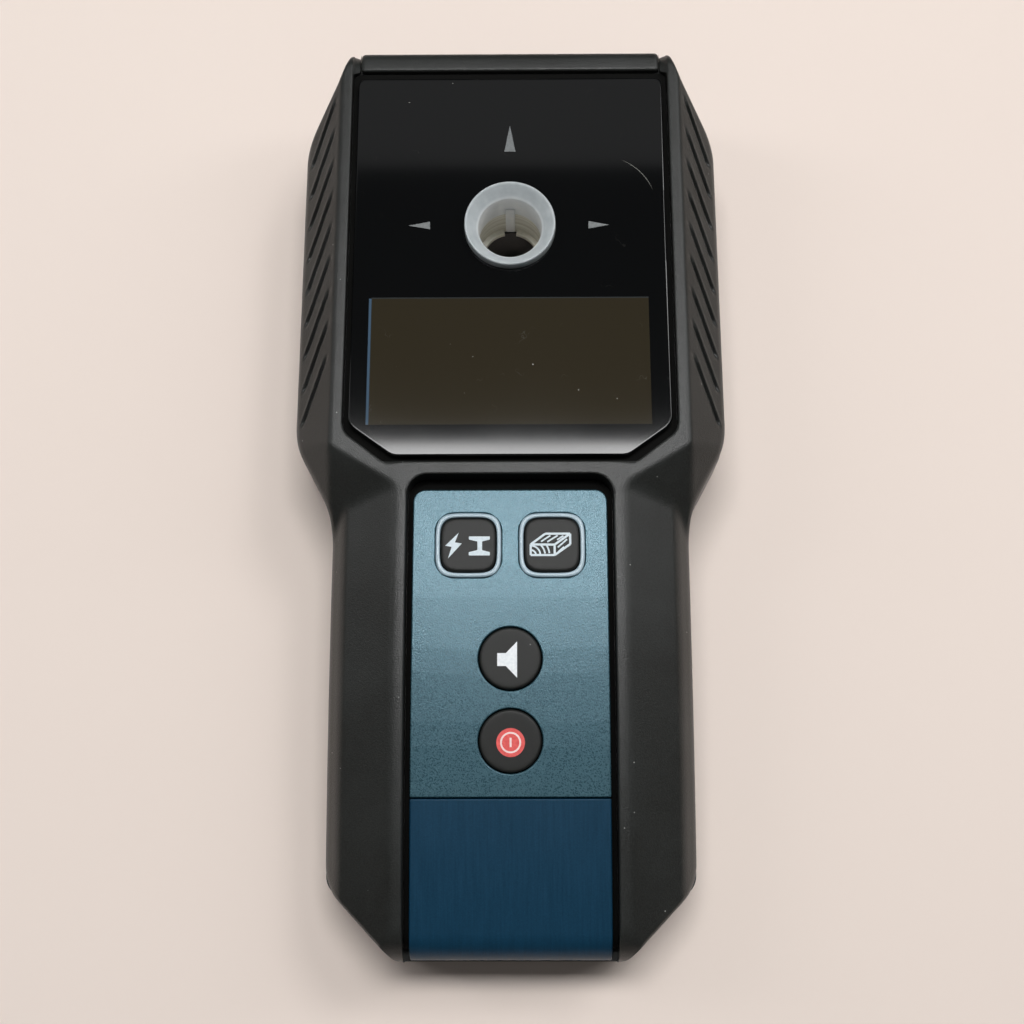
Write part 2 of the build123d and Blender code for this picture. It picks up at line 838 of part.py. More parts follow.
with BuildPart() as sensor_cable:
    add(
        strip_along(
            [
                (board_top - 0.5, board_z - 0.6),
                (sensor_board_bottom - 8.0, board_z - 1.5),
                (sensor_board_bottom - 5.0, bobbin_z + 1.2),
                (sensor_board_bottom + 5.0, bobbin_z + 0.6),
            ],
            flex_width,
            flex_thick,
            -cable_shift,
        )
    )

# Rubber mat, key panel and lower cover
key_holes = [skin_plane(x, y, mat_depth).location for x, y in key_places]
with BuildPart() as key_mat:
    add(
        layer(
            recess_half - mat_gap,
            handle_end,
            recess_top - mat_gap,
            mat_depth,
            mat_thick,
            recess_end - mat_thick,
            mid_round + mat_thick,
            recess_round - mat_gap,
        )
    )
    with Locations(*key_holes):
        Cylinder(stem_radius + stem_gap, 4 * mat_thick, mode=Mode.SUBTRACT)

panel_thick = mat_depth - panel_depth
with BuildPart() as keypad_panel:
    add(
        layer(
            panel_half,
            seam + seam_gap,
            panel_top,
            panel_depth,
            panel_thick,
            cover_end,
            cover_round,
            panel_round,
        )
    )
    for x, y in mode_keys:
        with BuildSketch(skin_plane(x, y)):
            RectangleRounded(mode_ring, mode_ring, mode_key_round + bezel_width + key_gap)
        extrude(amount=-2 * recess_depth, mode=Mode.SUBTRACT)
    for y in round_keys:
        with BuildSketch(skin_plane(0, y)):
            Circle(round_key_radius + key_gap)
        extrude(amount=-2 * recess_depth, mode=Mode.SUBTRACT)

with BuildPart() as lower_cover:
    add(layer(panel_half, handle_end, seam, panel_depth, panel_thick, cover_end, cover_round))


def key(x, y, outline):
    """A key: a cap in the panel's hole and a stem down to just above its switch."""
    cap_low = mat_depth - key_travel - 0.1
    switch_top = board_z + board_thick + switch_height + key_travel + switch_gap
    with BuildPart() as made:
        with BuildSketch(skin_plane(x, y, cap_low)):
            add(outline)
        extrude(amount=cap_low - panel_depth + key_proud)
        fillet(made.faces().sort_by(Axis.Z)[-1].edges(), key_round_edge)
        with BuildSketch(skin_plane(x, y, cap_low)):
            Circle(stem_radius)
        extrude(amount=-(skin_z(y, cap_low) - switch_top))
    return made.part


with BuildSketch() as square_key:
    RectangleRounded(mode_key_width, mode_key_width, mode_key_round)

with BuildSketch() as round_key:
    Circle(round_key_radius)


def bezel(x, y):
    """The fixed ring round a mode key."""
    with BuildPart() as made:
        with BuildSketch(skin_plane(x, y, mat_depth)):
            RectangleRounded(mode_ring, mode_ring, mode_key_round + bezel_width + key_gap)
            RectangleRounded(mode_inner, mode_inner, mode_key_round + key_gap, mode=Mode.SUBTRACT)
        extrude(amount=panel_thick + bezel_proud)
    return made.part


with BuildPart() as live_metal_button:
    add(key(-mode_key_x, mode_key_y, square_key.sketch))

with BuildPart() as wood_button:
    add(key(mode_key_x, mode_key_y, square_key.sketch))

with BuildPart() as sound_button:
    add(key(0, sound_key_y, round_key.sketch))

with BuildPart() as power_button:
    add(key(0, power_key_y, round_key.sketch))

with BuildPart() as live_metal_bezel:
    add(bezel(-mode_key_x, mode_key_y))

with BuildPart() as wood_bezel:
    add(bezel(mode_key_x, mode_key_y))


# Batteries, springs and contact plates
def battery(x):
    """One cell along Y with its nub towards the head."""
    low = cell_y - (cell_length + nub_height) / 2
    with BuildPart() as made:
        with BuildSketch(Plane(origin=(x, low, cell_z), z_dir=(0, 1, 0))):
            Circle(cell_radius)
        extrude(amount=cell_length)
        with BuildSketch(Plane(origin=(x, low + cell_length, cell_z), z_dir=(0, 1, 0))):
            Circle(nub_radius)
        extrude(amount=nub_height)
    return made.part


with BuildPart() as battery_1:
    add(battery(cell_places[0]))

with BuildPart() as battery_2:
    add(battery(cell_places[1]))

with BuildPart() as battery_3:
    add(battery(cell_places[2]))

cell_low = cell_y - (cell_length + nub_height) / 2
spring_height = cell_low - bay_bottom - contact_thick - 2 * (spring_wire + spring_gap)
with BuildPart() as battery_springs:
    for x in cell_places:
        spring_low = bay_bottom + contact_thick + spring_wire + spring_gap
        with BuildLine(Plane(origin=(x, spring_low, cell_z), z_dir=(0, 1, 0))):
            wire = Helix(spring_height / spring_turns, spring_height, spring_radius, direction=(0, 1, 0))
        with BuildSketch(Plane(origin=wire @ 0, z_dir=wire % 0)):
            Circle(spring_wire)
        sweep(path=wire)

with BuildPart() as battery_contacts:
    for y in (bay_bottom, bay_top - contact_thick):
        with BuildSketch(Plane(origin=(0, y + contact_thick, cell_z), x_dir=(1, 0, 0), z_dir=(0, -1, 0))):
            with Locations(*[(x, 0) for x in cell_places]):
                Rectangle(cell_pitch - 2.0, cell_radius)
        extrude(amount=contact_thick)

# Battery door with its hinge barrel and pins, foam pad and latch
with BuildPart() as battery_door:
    with BuildSketch():
        with Locations((0, (door_top + door_bottom) / 2)):
            Rectangle(2 * door_half, door_top - door_bottom)
        with Locations((0, door_bottom + (latch_length + latch_travel) / 2)):
            Rectangle(2 * (latch_half + latch_gap), latch_length + latch_travel, mode=Mode.SUBTRACT)
    extrude(amount=door_thick)
    with BuildSketch(Plane.XY.offset(door_thick)):
        with Locations((0, door_bottom + latch_length + latch_travel)):
            Rectangle(2 * (latch_half + bridge_side), 2 * bridge_reach)
    extrude(amount=latch_bridge)
    with Locations(Pos(0, door_top, door_axis_height)):
        Cylinder(door_barrel, 2 * door_half, rotation=(0, 90, 0))
        Cylinder(door_pin_radius, 2 * (door_half + door_pin_length), rotation=(0, 90, 0))

with BuildPart() as battery_pad:
    with BuildSketch(Plane.XY.offset(door_thick)):
        with Locations((0, cell_y + pad_shift)):
            Rectangle(2 * (cell_pitch + pad_side), pad_length)
    extrude(amount=pad_thick)

with BuildPart() as door_latch:
    with BuildSketch(Plane.XY.offset(latch_sunk)):
        with Locations((0, door_bottom + latch_length / 2)):
            Rectangle(2 * latch_half, latch_length)
    extrude(amount=door_thick - latch_sunk - 0.06)
    with BuildSketch(Plane.XY.offset(latch_sunk)):
        with Locations((0, door_bottom + latch_length / 2)):
            with GridLocations(0, 1.2, 1, 3):
                Rectangle(latch_half * 1.4, 0.5)
    extrude(amount=0.3, mode=Mode.SUBTRACT)

# Screws
with BuildPart() as housing_screws:
    with BuildSketch(Plane.XY.offset(screw_sink - screw_head_height)):
        with Locations(*screw_places):
            Circle(screw_head_radius)
    extrude(amount=screw_head_height)
    with BuildSketch(Plane.XY.offset(screw_sink)):
        with Locations(*screw_places):
            Circle(screw_radius)
    extrude(amount=screw_length)
    with BuildSketch(Plane.XY.offset(screw_sink - screw_head_height)):
        with Locations(*screw_places):
            Rectangle(3.2, 0.8)
            Rectangle(0.8, 3.2)
    extrude(amount=1.0, mode=Mode.SUBTRACT)

with BuildPart() as board_screws:
    with BuildSketch(Plane.XY.offset(sensor_board_height + board_thick)):
        with Locations(*sensor_posts):
            Circle(small_head_radius)
    extrude(amount=small_head_height)
    with BuildSketch(Plane.XY.offset(rear_wall - 0.6)):
        with Locations(*sensor_posts):
            Circle(small_screw_radius)
    extrude(amount=sensor_board_height + board_thick - rear_wall + 0.6)
    with BuildSketch(Plane.XY.offset(board_z - small_head_height)):
        with Locations(*board_posts):
            Circle(small_head_radius)
    extrude(amount=small_head_height)
    for x, y in board_posts:
        with BuildSketch(Plane.XY.offset(board_z)):
            with Locations((x, y)):
                Circle(small_screw_radius)
        extrude(amount=skin_z(y, tub_depth) - board_z - 0.2)

pieces = {
    "front_housing": front_housing,
    "top_bumper": top_bumper,
    "rear_housing": rear_housing,
    "glide_pads": glide_pads,
    "rear_label": rear_label,
    "window": window,
    "window_gasket": window_gasket,
    "display": display,
    "display_backlight": display_backlight,
    "display_holder": display_holder,
    "display_flex": display_flex,
    "marking_ring": marking_ring,
    "hole_sleeve": hole_sleeve,
    "ring_board": ring_board,
    "ring_leds": ring_leds,
    "sensor_board": sensor_board,
    "coil_bobbin": coil_bobbin,
    "sensor_coil": sensor_coil,
    "main_board": main_board,
    "tact_switches": tact_switches,
    "shield_can": shield_can,
    "buzzer": buzzer,
    "sensor_cable": sensor_cable,
    "key_mat": key_mat,
    "keypad_panel": keypad_panel,
    "lower_cover": lower_cover,
    "live_metal_button": live_metal_button,
    "wood_button": wood_button,
    "sound_button": sound_button,
    "power_button": power_button,
    "live_metal_bezel": live_metal_bezel,
    "wood_bezel": wood_bezel,
    "battery_1": battery_1,
    "battery_2": battery_2,
    "battery_3": battery_3,
    "battery_springs": battery_springs,
    "battery_contacts": battery_contacts,
    "battery_door": battery_door,
    "battery_pad": battery_pad,
    "door_latch": door_latch,
    "housing_screws": housing_screws,
    "board_screws": board_screws,
}

os.makedirs("parts", exist_ok=True)
for name, piece in pieces.items():
    piece.part.label = name
    export_step(piece.part, f"parts/{name}.step")
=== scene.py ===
import json
import math
import bmesh
import bpy
import numpy as np
from mathutils import Matrix, Vector

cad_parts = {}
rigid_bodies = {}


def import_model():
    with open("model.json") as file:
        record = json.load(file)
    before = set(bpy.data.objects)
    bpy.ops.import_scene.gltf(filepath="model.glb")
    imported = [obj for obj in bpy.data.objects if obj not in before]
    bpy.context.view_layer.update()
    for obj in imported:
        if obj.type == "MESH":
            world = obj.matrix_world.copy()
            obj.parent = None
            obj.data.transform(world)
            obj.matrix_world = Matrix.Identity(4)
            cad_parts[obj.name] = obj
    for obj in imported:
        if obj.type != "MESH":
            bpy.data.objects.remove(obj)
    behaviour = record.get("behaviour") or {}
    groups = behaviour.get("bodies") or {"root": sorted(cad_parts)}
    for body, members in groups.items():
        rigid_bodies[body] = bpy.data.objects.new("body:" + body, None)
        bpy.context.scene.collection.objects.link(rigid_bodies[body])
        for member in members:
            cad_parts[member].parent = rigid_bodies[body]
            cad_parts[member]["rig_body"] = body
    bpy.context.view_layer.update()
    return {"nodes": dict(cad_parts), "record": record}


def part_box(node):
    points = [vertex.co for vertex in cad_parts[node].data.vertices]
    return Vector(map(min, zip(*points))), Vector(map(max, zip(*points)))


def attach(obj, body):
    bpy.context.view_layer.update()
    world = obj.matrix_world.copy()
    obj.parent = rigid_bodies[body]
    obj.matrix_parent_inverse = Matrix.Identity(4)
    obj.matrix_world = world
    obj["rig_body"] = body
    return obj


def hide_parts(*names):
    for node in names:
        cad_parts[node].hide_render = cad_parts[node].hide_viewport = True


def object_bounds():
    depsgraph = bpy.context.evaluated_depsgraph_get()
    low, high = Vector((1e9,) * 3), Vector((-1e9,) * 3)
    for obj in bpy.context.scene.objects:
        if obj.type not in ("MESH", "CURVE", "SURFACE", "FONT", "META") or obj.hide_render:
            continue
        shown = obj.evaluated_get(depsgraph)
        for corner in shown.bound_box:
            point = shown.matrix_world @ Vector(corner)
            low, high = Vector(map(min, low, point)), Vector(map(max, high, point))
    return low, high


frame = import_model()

mm = 0.001
nodes = frame["nodes"]
print("frame loaded:", len(nodes), "CAD nodes")


def boxOf(node):  # a CAD node's lowest and highest corner, in millimetres
    low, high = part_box(node)
    return np.array(low) / mm, np.array(high) / mm


def sheet(points, closeRows=False, closeColumns=False):
    # four-cornered faces between the neighbours of a grid of points; a closed way wraps round
    rows, columns = points.shape[:2]
    index = np.arange(rows * columns).reshape(rows, columns)
    if closeRows:
        index = np.vstack([index, index[:1]])
    if closeColumns:
        index = np.hstack([index, index[:, :1]])
    faces = np.stack([index[:-1, :-1], index[:-1, 1:], index[1:, 1:], index[1:, :-1]], -1)
    return points.reshape(-1, 3), faces.reshape(-1, 4).tolist()


def tube(points):
    # a run of closed loops, rows by corners, with both ends capped
    spots, faces = sheet(points, closeColumns=True)
    count = points.shape[1]
    last = len(spots) - count
    return spots, faces + [list(range(count)), list(range(last, last + count))]


def lathe(profile, segments=128):
    # a closed loop of (radius, height) carried round the Z axis
    turn = np.linspace(0, 2 * np.pi, segments, endpoint=False)[:, None]
    radius, height = np.array(profile).T
    points = np.stack([radius * np.cos(turn), radius * np.sin(turn), height + 0 * turn], -1)
    return sheet(points, closeRows=True, closeColumns=True)


def rounded(corners, radius, steps=5, closed=True):
    # each corner is replaced by a parabola that starts and ends radius away from it
    corners = np.array(corners, float)
    count = len(corners)
    radii = np.broadcast_to(radius, count)
    out = []
    s = np.linspace(0, 1, steps)[:, None]
    for i, here in enumerate(corners):
        if not closed and i in (0, count - 1) or radii[i] == 0:
            out.append(here[None])
            continue
        back, on = corners[i - 1] - here, corners[(i + 1) % count] - here
        a = here + back * min(0.48, radii[i] / np.linalg.norm(back))
        b = here + on * min(0.48, radii[i] / np.linalg.norm(on))
        out.append((1 - s) ** 2 * a + 2 * s * (1 - s) * here + s**2 * b)
    return np.concatenate(out)


def runsOf(path):
    # distance along a polyline at each of its points
    return np.r_[0, np.cumsum(np.linalg.norm(np.diff(path, axis=0), axis=1))]


def along(path, distances):
    # points at the given distances along a polyline
    runs = runsOf(path)
    return np.stack([np.interp(distances, runs, path[:, k]) for k in range(path.shape[1])], -1)


def lengthOf(path):
    return runsOf(path)[-1]


def softMin(a, b, blend):
    # the smaller of two heights, with a parabola of width blend where they cross
    share = np.clip(0.5 + 0.5 * (b - a) / blend, 0, 1)
    return b * (1 - share) + a * share - blend * share * (1 - share)


def softMax(a, b, blend):
    return -softMin(-a, -b, blend)


def ease(value, low, high):
    # runs smoothly from 0 at low to 1 at high
    t = np.clip((value - low) / (high - low), 0, 1)
    return t * t * (3 - 2 * t)


def edgeDrop(distance, radius):
    # how far a quarter-round edge has fallen, at a distance in from the edge
    inner = np.clip(radius - np.maximum(distance, 0), 0, radius)
    return radius - np.sqrt(radius**2 - inner**2)


def mirrored(part):
    points, faces = part
    return points * (-1, 1, 1), [face[::-1] for face in faces]


def makePiece(name, parts, body, finish, standsFor=(), weld=0.002, sharp=35):
    # joins the parts, in millimetres, into one welded mesh with its faces outward
    spots, faces, start = [], [], 0
    for points, corners in parts:
        spots.append(np.asarray(points, float))
        faces += [[start + i for i in face] for face in corners]
        start += len(points)
    mesh = bpy.data.meshes.new(name)
    mesh.from_pydata((np.concatenate(spots) * mm).tolist(), [], faces)
    work = bmesh.new()
    work.from_mesh(mesh)
    bmesh.ops.remove_doubles(work, verts=work.verts, dist=weld * mm)
    bmesh.ops.dissolve_degenerate(work, edges=work.edges, dist=weld * mm / 4)
    bmesh.ops.recalc_face_normals(work, faces=work.faces)
    work.to_mesh(mesh)
    work.free()
    mesh.shade_smooth()
    mesh.set_sharp_from_angle(angle=math.radians(sharp))
    mesh.materials.append(finish)
    made = bpy.data.objects.new(name, mesh)
    bpy.context.scene.collection.objects.link(made)
    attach(made, body)
    if standsFor:
        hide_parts(*standsFor)
    return made


def paint(red, green, blue):  # a screen colour, 0 to 255, as the renderer's linear colour
    values = np.array([red, green, blue]) / 255
    linear = np.where(values <= 0.04045, values / 12.92, ((values + 0.055) / 1.055) ** 2.4)
    return (*linear.tolist(), 1.0)


class Field:
    # a number or colour that changes over a surface; sums and products add Math nodes
    def __init__(self, tree, socket):
        self.tree, self.socket = tree, socket

    def node(self, kind, settings=None, inputs=None, output=0):
        made = self.tree.nodes.new("ShaderNode" + kind)
        for name, value in (settings or {}).items():
            if name == "stops":
                while len(made.color_ramp.elements) < len(value):
                    made.color_ramp.elements.new(0.5)
                for element, (place, colour) in zip(made.color_ramp.elements, value):
                    element.position, element.color = place, colour
            else:
                setattr(made, name, value)
        for name, value in (inputs or {}).items():
            if isinstance(value, Field):
                self.tree.links.new(value.socket, made.inputs[name])
            else:
                made.inputs[name].default_value = value
        return Field(self.tree, made.outputs[output])

    def math(self, operation, *values):
        return self.node("Math", {"operation": operation}, dict(enumerate(values)))

    def __add__(self, other):
        return self.math("ADD", self, other)

    def __sub__(self, other):
        return self.math("SUBTRACT", self, other)

    def __rsub__(self, other):
        return self.math("SUBTRACT", other, self)

    def __mul__(self, other):
        return self.math("MULTIPLY", self, other)

    def __truediv__(self, other):
        return self.math("DIVIDE", self, other)

    def __pow__(self, other):
        return self.math("POWER", self, other)

    def __abs__(self):
        return self.math("ABSOLUTE", self)

    __radd__, __rmul__ = __add__, __mul__

    def between(self, low, high):  # 0 at low, 1 at high, straight between and held outside
        return self.node("MapRange", None, {0: self, 1: low, 2: high})

    def axis(self, name):
        return self.node("SeparateXYZ", None, {0: self}, "XYZ".index(name))

    def noise(self, size, detail=2.0, roughness=0.5, stretch=None):
        # cloudy values from 0 to 1 whose lumps are about size millimetres across
        where = self if stretch is None else self.times(stretch)
        values = {"Vector": where, "Scale": 1 / (size * mm), "Detail": detail, "Roughness": roughness}
        return self.node("TexNoise", None, values)

    def cells(self, size, output=0, randomness=1.0):
        # distance from the nearest of many scattered points, or with output 1 its own colour
        values = {"Vector": self, "Scale": 1 / (size * mm), "Randomness": randomness}
        return self.node("TexVoronoi", None, values, output)

    def times(self, factors):
        return self.node("VectorMath", {"operation": "MULTIPLY"}, {0: self, 1: factors})

    def mix(self, low, high):  # this field picks between two colours
        return self.node("Mix", {"data_type": "RGBA"}, {0: self, 6: low, 7: high}, 2)

    def bump(self, height, strength=1.0):  # height in metres
        return self.node("Bump", None, {"Strength": strength, "Distance": 1.0, "Height": height})


def makeFinish(name, recipe):
    # recipe takes the Object coordinates and gives the shader's inputs by name
    finish = bpy.data.materials.new(name)
    finish.use_nodes = True
    tree = finish.node_tree
    tree.nodes.clear()
    output = tree.nodes.new("ShaderNodeOutputMaterial")
    shader = tree.nodes.new("ShaderNodeBsdfPrincipled")
    tree.links.new(shader.outputs[0], output.inputs[0])
    place = Field(tree, tree.nodes.new("ShaderNodeTexCoord").outputs["Object"])
    for socket, value in recipe(place).items():
        if isinstance(value, Field):
            tree.links.new(value.socket, shader.inputs[socket])
        else:
            shader.inputs[socket].default_value = value
    return finish


def specks(place, spacing, size, share):
    # 1 on a few small scattered dots: near a point of the cells, where the cell's own number is low
    near = 1 - place.cells(spacing).between(size / spacing * 0.6, size / spacing)
    chosen = place.cells(spacing, 1).axis("X").math("LESS_THAN", place.cells(spacing, 1).axis("X"), share)
    return near * chosen


def mouldedPlastic(low, high, roughness=0.5, grain=0.32, depth=0.05, dust=0.10, gloss=0.36):
    # fine spark-eroded grain with a slow change of tone and a few pale specks of dust
    def recipe(place):
        texture = place.noise(grain, 3.0, 0.6)
        cloud = place.noise(14.0, 3.0)
        tone = (texture * 0.55 + cloud * 0.45).between(0.36, 0.64).mix(low, high)
        dots = specks(place, 1.9, 0.16, dust)
        return {
            "Base Color": (dots * 0.6).mix(tone, paint(188, 190, 186)),
            "Roughness": roughness + (texture - 0.5) * 0.18,
            "Specular IOR Level": gloss,
            "Normal": place.bump(texture * (depth * mm), 0.9),
        }
    return recipe


def plainMoulded(low, high, roughness=0.4, grain=0.5, depth=0.012):
    # smooth moulding with a faint flow pattern
    def recipe(place):
        texture = place.noise(grain, 3.0, 0.6)
        cloud = place.noise(5.0, 4.0)
        return {
            "Base Color": (texture * 0.4 + cloud * 0.6).between(0.3, 0.7).mix(low, high),
            "Roughness": roughness + (cloud - 0.5) * 0.2,
            "Normal": place.bump(texture * (depth * mm), 0.6),
        }
    return recipe


def brushedMetal(low, high, roughness=0.3, stretch=(1.0, 14.0, 1.0)):
    # fine drawn lines across the stretch, with patches of dulled plating
    def recipe(place):
        lines = place.noise(0.9, 4.0, 0.6, stretch)
        cloud = place.noise(3.0, 3.0)
        return {
            "Base Color": (lines * 0.5 + cloud * 0.5).between(0.3, 0.7).mix(low, high),
            "Metallic": 1.0,
            "Roughness": roughness + (cloud - 0.5) * 0.25,
            "Normal": place.bump(lines * (0.01 * mm), 0.5),
        }
    return recipe


def circuit(place):
    # green mask over square tracks, with tinned pads
    tracks = place.times((1, 1, 0.01)).noise(1.4, 1.0).between(0.49, 0.53)
    pads = 1 - place.cells(2.6, 0, 0.2).between(0.14, 0.18)
    board = tracks.mix(paint(12, 62, 36), paint(24, 92, 52))
    return {
        "Base Color": pads.mix(board, paint(188, 186, 176)),
        "Metallic": pads * 0.9,
        "Roughness": 0.34 + place.noise(4.0) * 0.1,
        "Normal": place.bump((tracks + pads) * (0.03 * mm), 0.8),
    }


def panelMetallic(place):
    # metallic lacquer: small flakes of different brightness under a satin surface
    flakes = place.cells(0.2, 1).axis("X")
    grain = place.times((1.0, 0.6, 1.0)).noise(0.2, 2.0, 0.6)
    mixed = (flakes * 0.5 + grain * 0.8 - 0.15).between(0.1, 0.9)
    return {
        "Base Color": mixed.mix(paint(36, 70, 82), paint(66, 102, 114)),
        "Metallic": 0.3,
        "Roughness": 0.31 + (flakes - 0.5) * 0.14,
        "Normal": place.bump(grain * (0.05 * mm), 0.8),
    }


def coverBlue(place):
    # dark blue satin lacquer with faint upright brush marks
    brush = place.times((1.0, 0.04, 0.04)).noise(0.45, 4.0, 0.7)
    grain = place.noise(0.3, 2.0)
    tone = (brush * 0.6 + grain * 0.4).between(0.3, 0.7)
    return {
        "Base Color": tone.mix(paint(4, 46, 68), paint(12, 60, 86)),
        "Metallic": 0.1,
        "Specular IOR Level": 0.25,
        "Roughness": 0.4 + (brush - 0.5) * 0.2,
        "Normal": place.bump((brush * 0.6 + grain * 0.4) * (0.02 * mm), 0.7),
    }


displayLow, displayHigh = boxOf("display")
glassLook = {
    "screenInset": (0.4, 0.7),  # visible edge of the screen inside the display's box
    "lineWidth": 0.5,           # pale edge of the screen's polariser, on the left
    "dustSpacing": 1.5,
    "dustSize": 0.14,
    "topLine": 0.22,            # and above it
    "scratchCentre": (18.0, 4.0),
    "scratchRadius": 12.0,
    "scratchX": (24.0, 29.0),
}


def glass(place):
    # black gloss panel; an olive screen shows through, with its pale edge, dust and a hair scratch
    x, y = place.axis("X") / mm, place.axis("Y") / mm
    insetX, insetY = glassLook["screenInset"]
    left, right = displayLow[0] + insetX, displayHigh[0] - insetX
    low, high = displayLow[1] + insetY, displayHigh[1] - insetY
    def strip(value, start, end, soft=0.05):
        return value.between(start - soft, start + soft) * (1 - value.between(end - soft, end + soft))
    screen = strip(x, left, right) * strip(y, low, high)
    sideLine = strip(x, left - glassLook["lineWidth"], left) * strip(y, low, high)
    topLine = strip(x, left, right) * strip(y, high, high + glassLook["topLine"])
    tone = screen.mix(paint(9, 10, 11), paint(47, 42, 31))
    tone = (sideLine * 0.9).mix(tone, paint(70, 92, 112))
    tone = (topLine * 0.8).mix(tone, paint(58, 62, 62))
    onScreen = screen * place.noise(9.0, 3.0).between(0.42, 0.6)
    dots = specks(place, glassLook["dustSpacing"], glassLook["dustSize"], 0.02 + onScreen * 0.10)
    fibres = 1 - abs(place.noise(3.2, 2.0, 0.5) - 0.5).between(0.0, 0.006)
    fibres = fibres * place.noise(5.0, 1.0).between(0.66, 0.70) * (0.03 + screen * 0.10)
    centreX, centreY = glassLook["scratchCentre"]
    reach = ((x - centreX) ** 2 + (y - centreY) ** 2) ** 0.5
    scratch = 1 - abs(reach - glassLook["scratchRadius"]).between(0.02, 0.09)
    scratch = scratch * strip(x, *glassLook["scratchX"], 1.0)
    marks = (dots + fibres + scratch * y.between(8.0, 9.0) * 0.5).between(0.0, 1.0)
    haze = place.noise(22.0, 3.0)
    return {
        "Base Color": (marks * 0.7).mix(tone, paint(190, 190, 182)),
        "Roughness": 0.045 + haze * 0.03 + marks * 0.4,
        "Specular IOR Level": 0.36,
    }


def lightGuide(place):
    # milky plastic, greyer in the cone at its top, with faint turned lines
    inCone = (place.axis("Z") / mm).between(28.4, 29.4)
    lines = place.times((0.05, 0.05, 1.0)).noise(0.5, 3.0)
    cloud = (lines * 0.3 + place.noise(2.0) * 0.7).between(0.3, 0.7)
    bore = cloud.mix(paint(236, 239, 240), paint(248, 249, 249))
    cone = cloud.mix(paint(172, 179, 182), paint(192, 198, 200))
    return {
        "Base Color": inCone.mix(bore, cone),
        "Roughness": 0.34 + (lines - 0.5) * 0.2,
        "Subsurface Weight": 0.45,
        "Subsurface Radius": (0.004, 0.004, 0.004),
        "Subsurface Scale": 0.5,
        "Normal": place.bump(lines * (0.02 * mm), 0.4),
    }


def creamSleeve(place):
    # cream moulding with the tool's turned bands
    bands = place.times((0.02, 0.02, 1.0)).noise(0.8, 2.0)
    return {
        "Base Color": bands.between(0.35, 0.65).mix(paint(206, 201, 186), paint(240, 238, 228)),
        "Roughness": 0.5 + (bands - 0.5) * 0.2,
        "Normal": place.bump(bands * (0.10 * mm), 0.8),
    }


def windings(place):
    # enamelled wire laid side by side round the bobbin, about 0.3 mm from turn to turn
    angle = place.axis("Z") / mm * 20.9
    rounds = angle.math("SINE", angle) * 0.5 + 0.5
    return {
        "Base Color": (rounds * 0.6 + place.noise(1.5) * 0.4).mix(paint(112, 52, 24), paint(206, 128, 74)),
        "Metallic": 0.8,
        "Roughness": 0.3 + place.noise(2.0) * 0.1,
        "Normal": place.bump(rounds * (0.08 * mm), 0.9),
    }


def cellWrap(place):
    # printed sleeve: dark body with a copper-coloured band at one end
    y = place.axis("Y") / mm
    bandLow, bandHigh = -84.2, -77.9
    band = y.between(bandLow, bandLow + 0.2) * (1 - y.between(bandHigh, bandHigh + 0.1))
    scuff = place.noise(4.0, 4.0, 0.6)
    wrap = scuff.between(0.3, 0.7).mix(paint(34, 36, 40), paint(52, 54, 58))
    return {
        "Base Color": band.mix(wrap, paint(196, 140, 84)),
        "Metallic": 0.25 + band * 0.5,
        "Roughness": 0.26 + scuff * 0.15,
        "Normal": place.bump(place.noise(0.8) * (0.01 * mm), 0.4),
    }


def feltPad(place):
    fibres = place.noise(0.22, 4.0, 0.7, (1.0, 0.4, 1.0))
    return {
        "Base Color": fibres.between(0.3, 0.7).mix(paint(20, 20, 22), paint(58, 58, 60)),
        "Roughness": 0.9 + (fibres - 0.5) * 0.1,
        "Sheen Weight": 0.3,
        "Normal": place.bump(fibres * (0.15 * mm), 1.0),
    }


labelLow, labelHigh = boxOf("rear_label")


def labelFilm(place):
    # silver film with a border line and plain grey bars where print would be
    x, y = abs(place.axis("X") / mm), place.axis("Y") / mm
    lines = y / 2.4
    rows = lines.math("FRACT", lines) - 0.5
    bars = (1 - abs(rows).between(0.10, 0.16)) * (1 - x.between(11.8, 12.0))
    bars = bars * y.between(labelLow[1] + 3.0, labelLow[1] + 3.1)
    bars = bars * (1 - y.between(labelHigh[1] - 3.1, labelHigh[1] - 3.0))
    words = place.times((1, 0.2, 1)).noise(1.6, 1.0).between(0.42, 0.46)
    edge = x.between(labelHigh[0] - 0.9, labelHigh[0] - 0.8)
    grain = place.noise(0.4, 3.0)
    film = grain.between(0.3, 0.7).mix(paint(176, 178, 180), paint(196, 198, 200))
    return {
        "Base Color": (bars * words + edge).between(0, 1).mix(film, paint(70, 74, 78)),
        "Metallic": 0.3,
        "Roughness": 0.38 + (grain - 0.5) * 0.15,
        "Normal": place.bump(grain * (0.01 * mm), 0.5),
    }


def mark(colour, other):
    # printed ink with a slightly uneven layer
    def recipe(place):
        ink = place.noise(0.5, 3.0)
        return {
            "Base Color": ink.between(0.3, 0.7).mix(colour, other),
            "Roughness": 0.42 + (ink - 0.5) * 0.2,
            "Normal": place.bump(ink * (0.01 * mm), 0.5),
        }
    return recipe


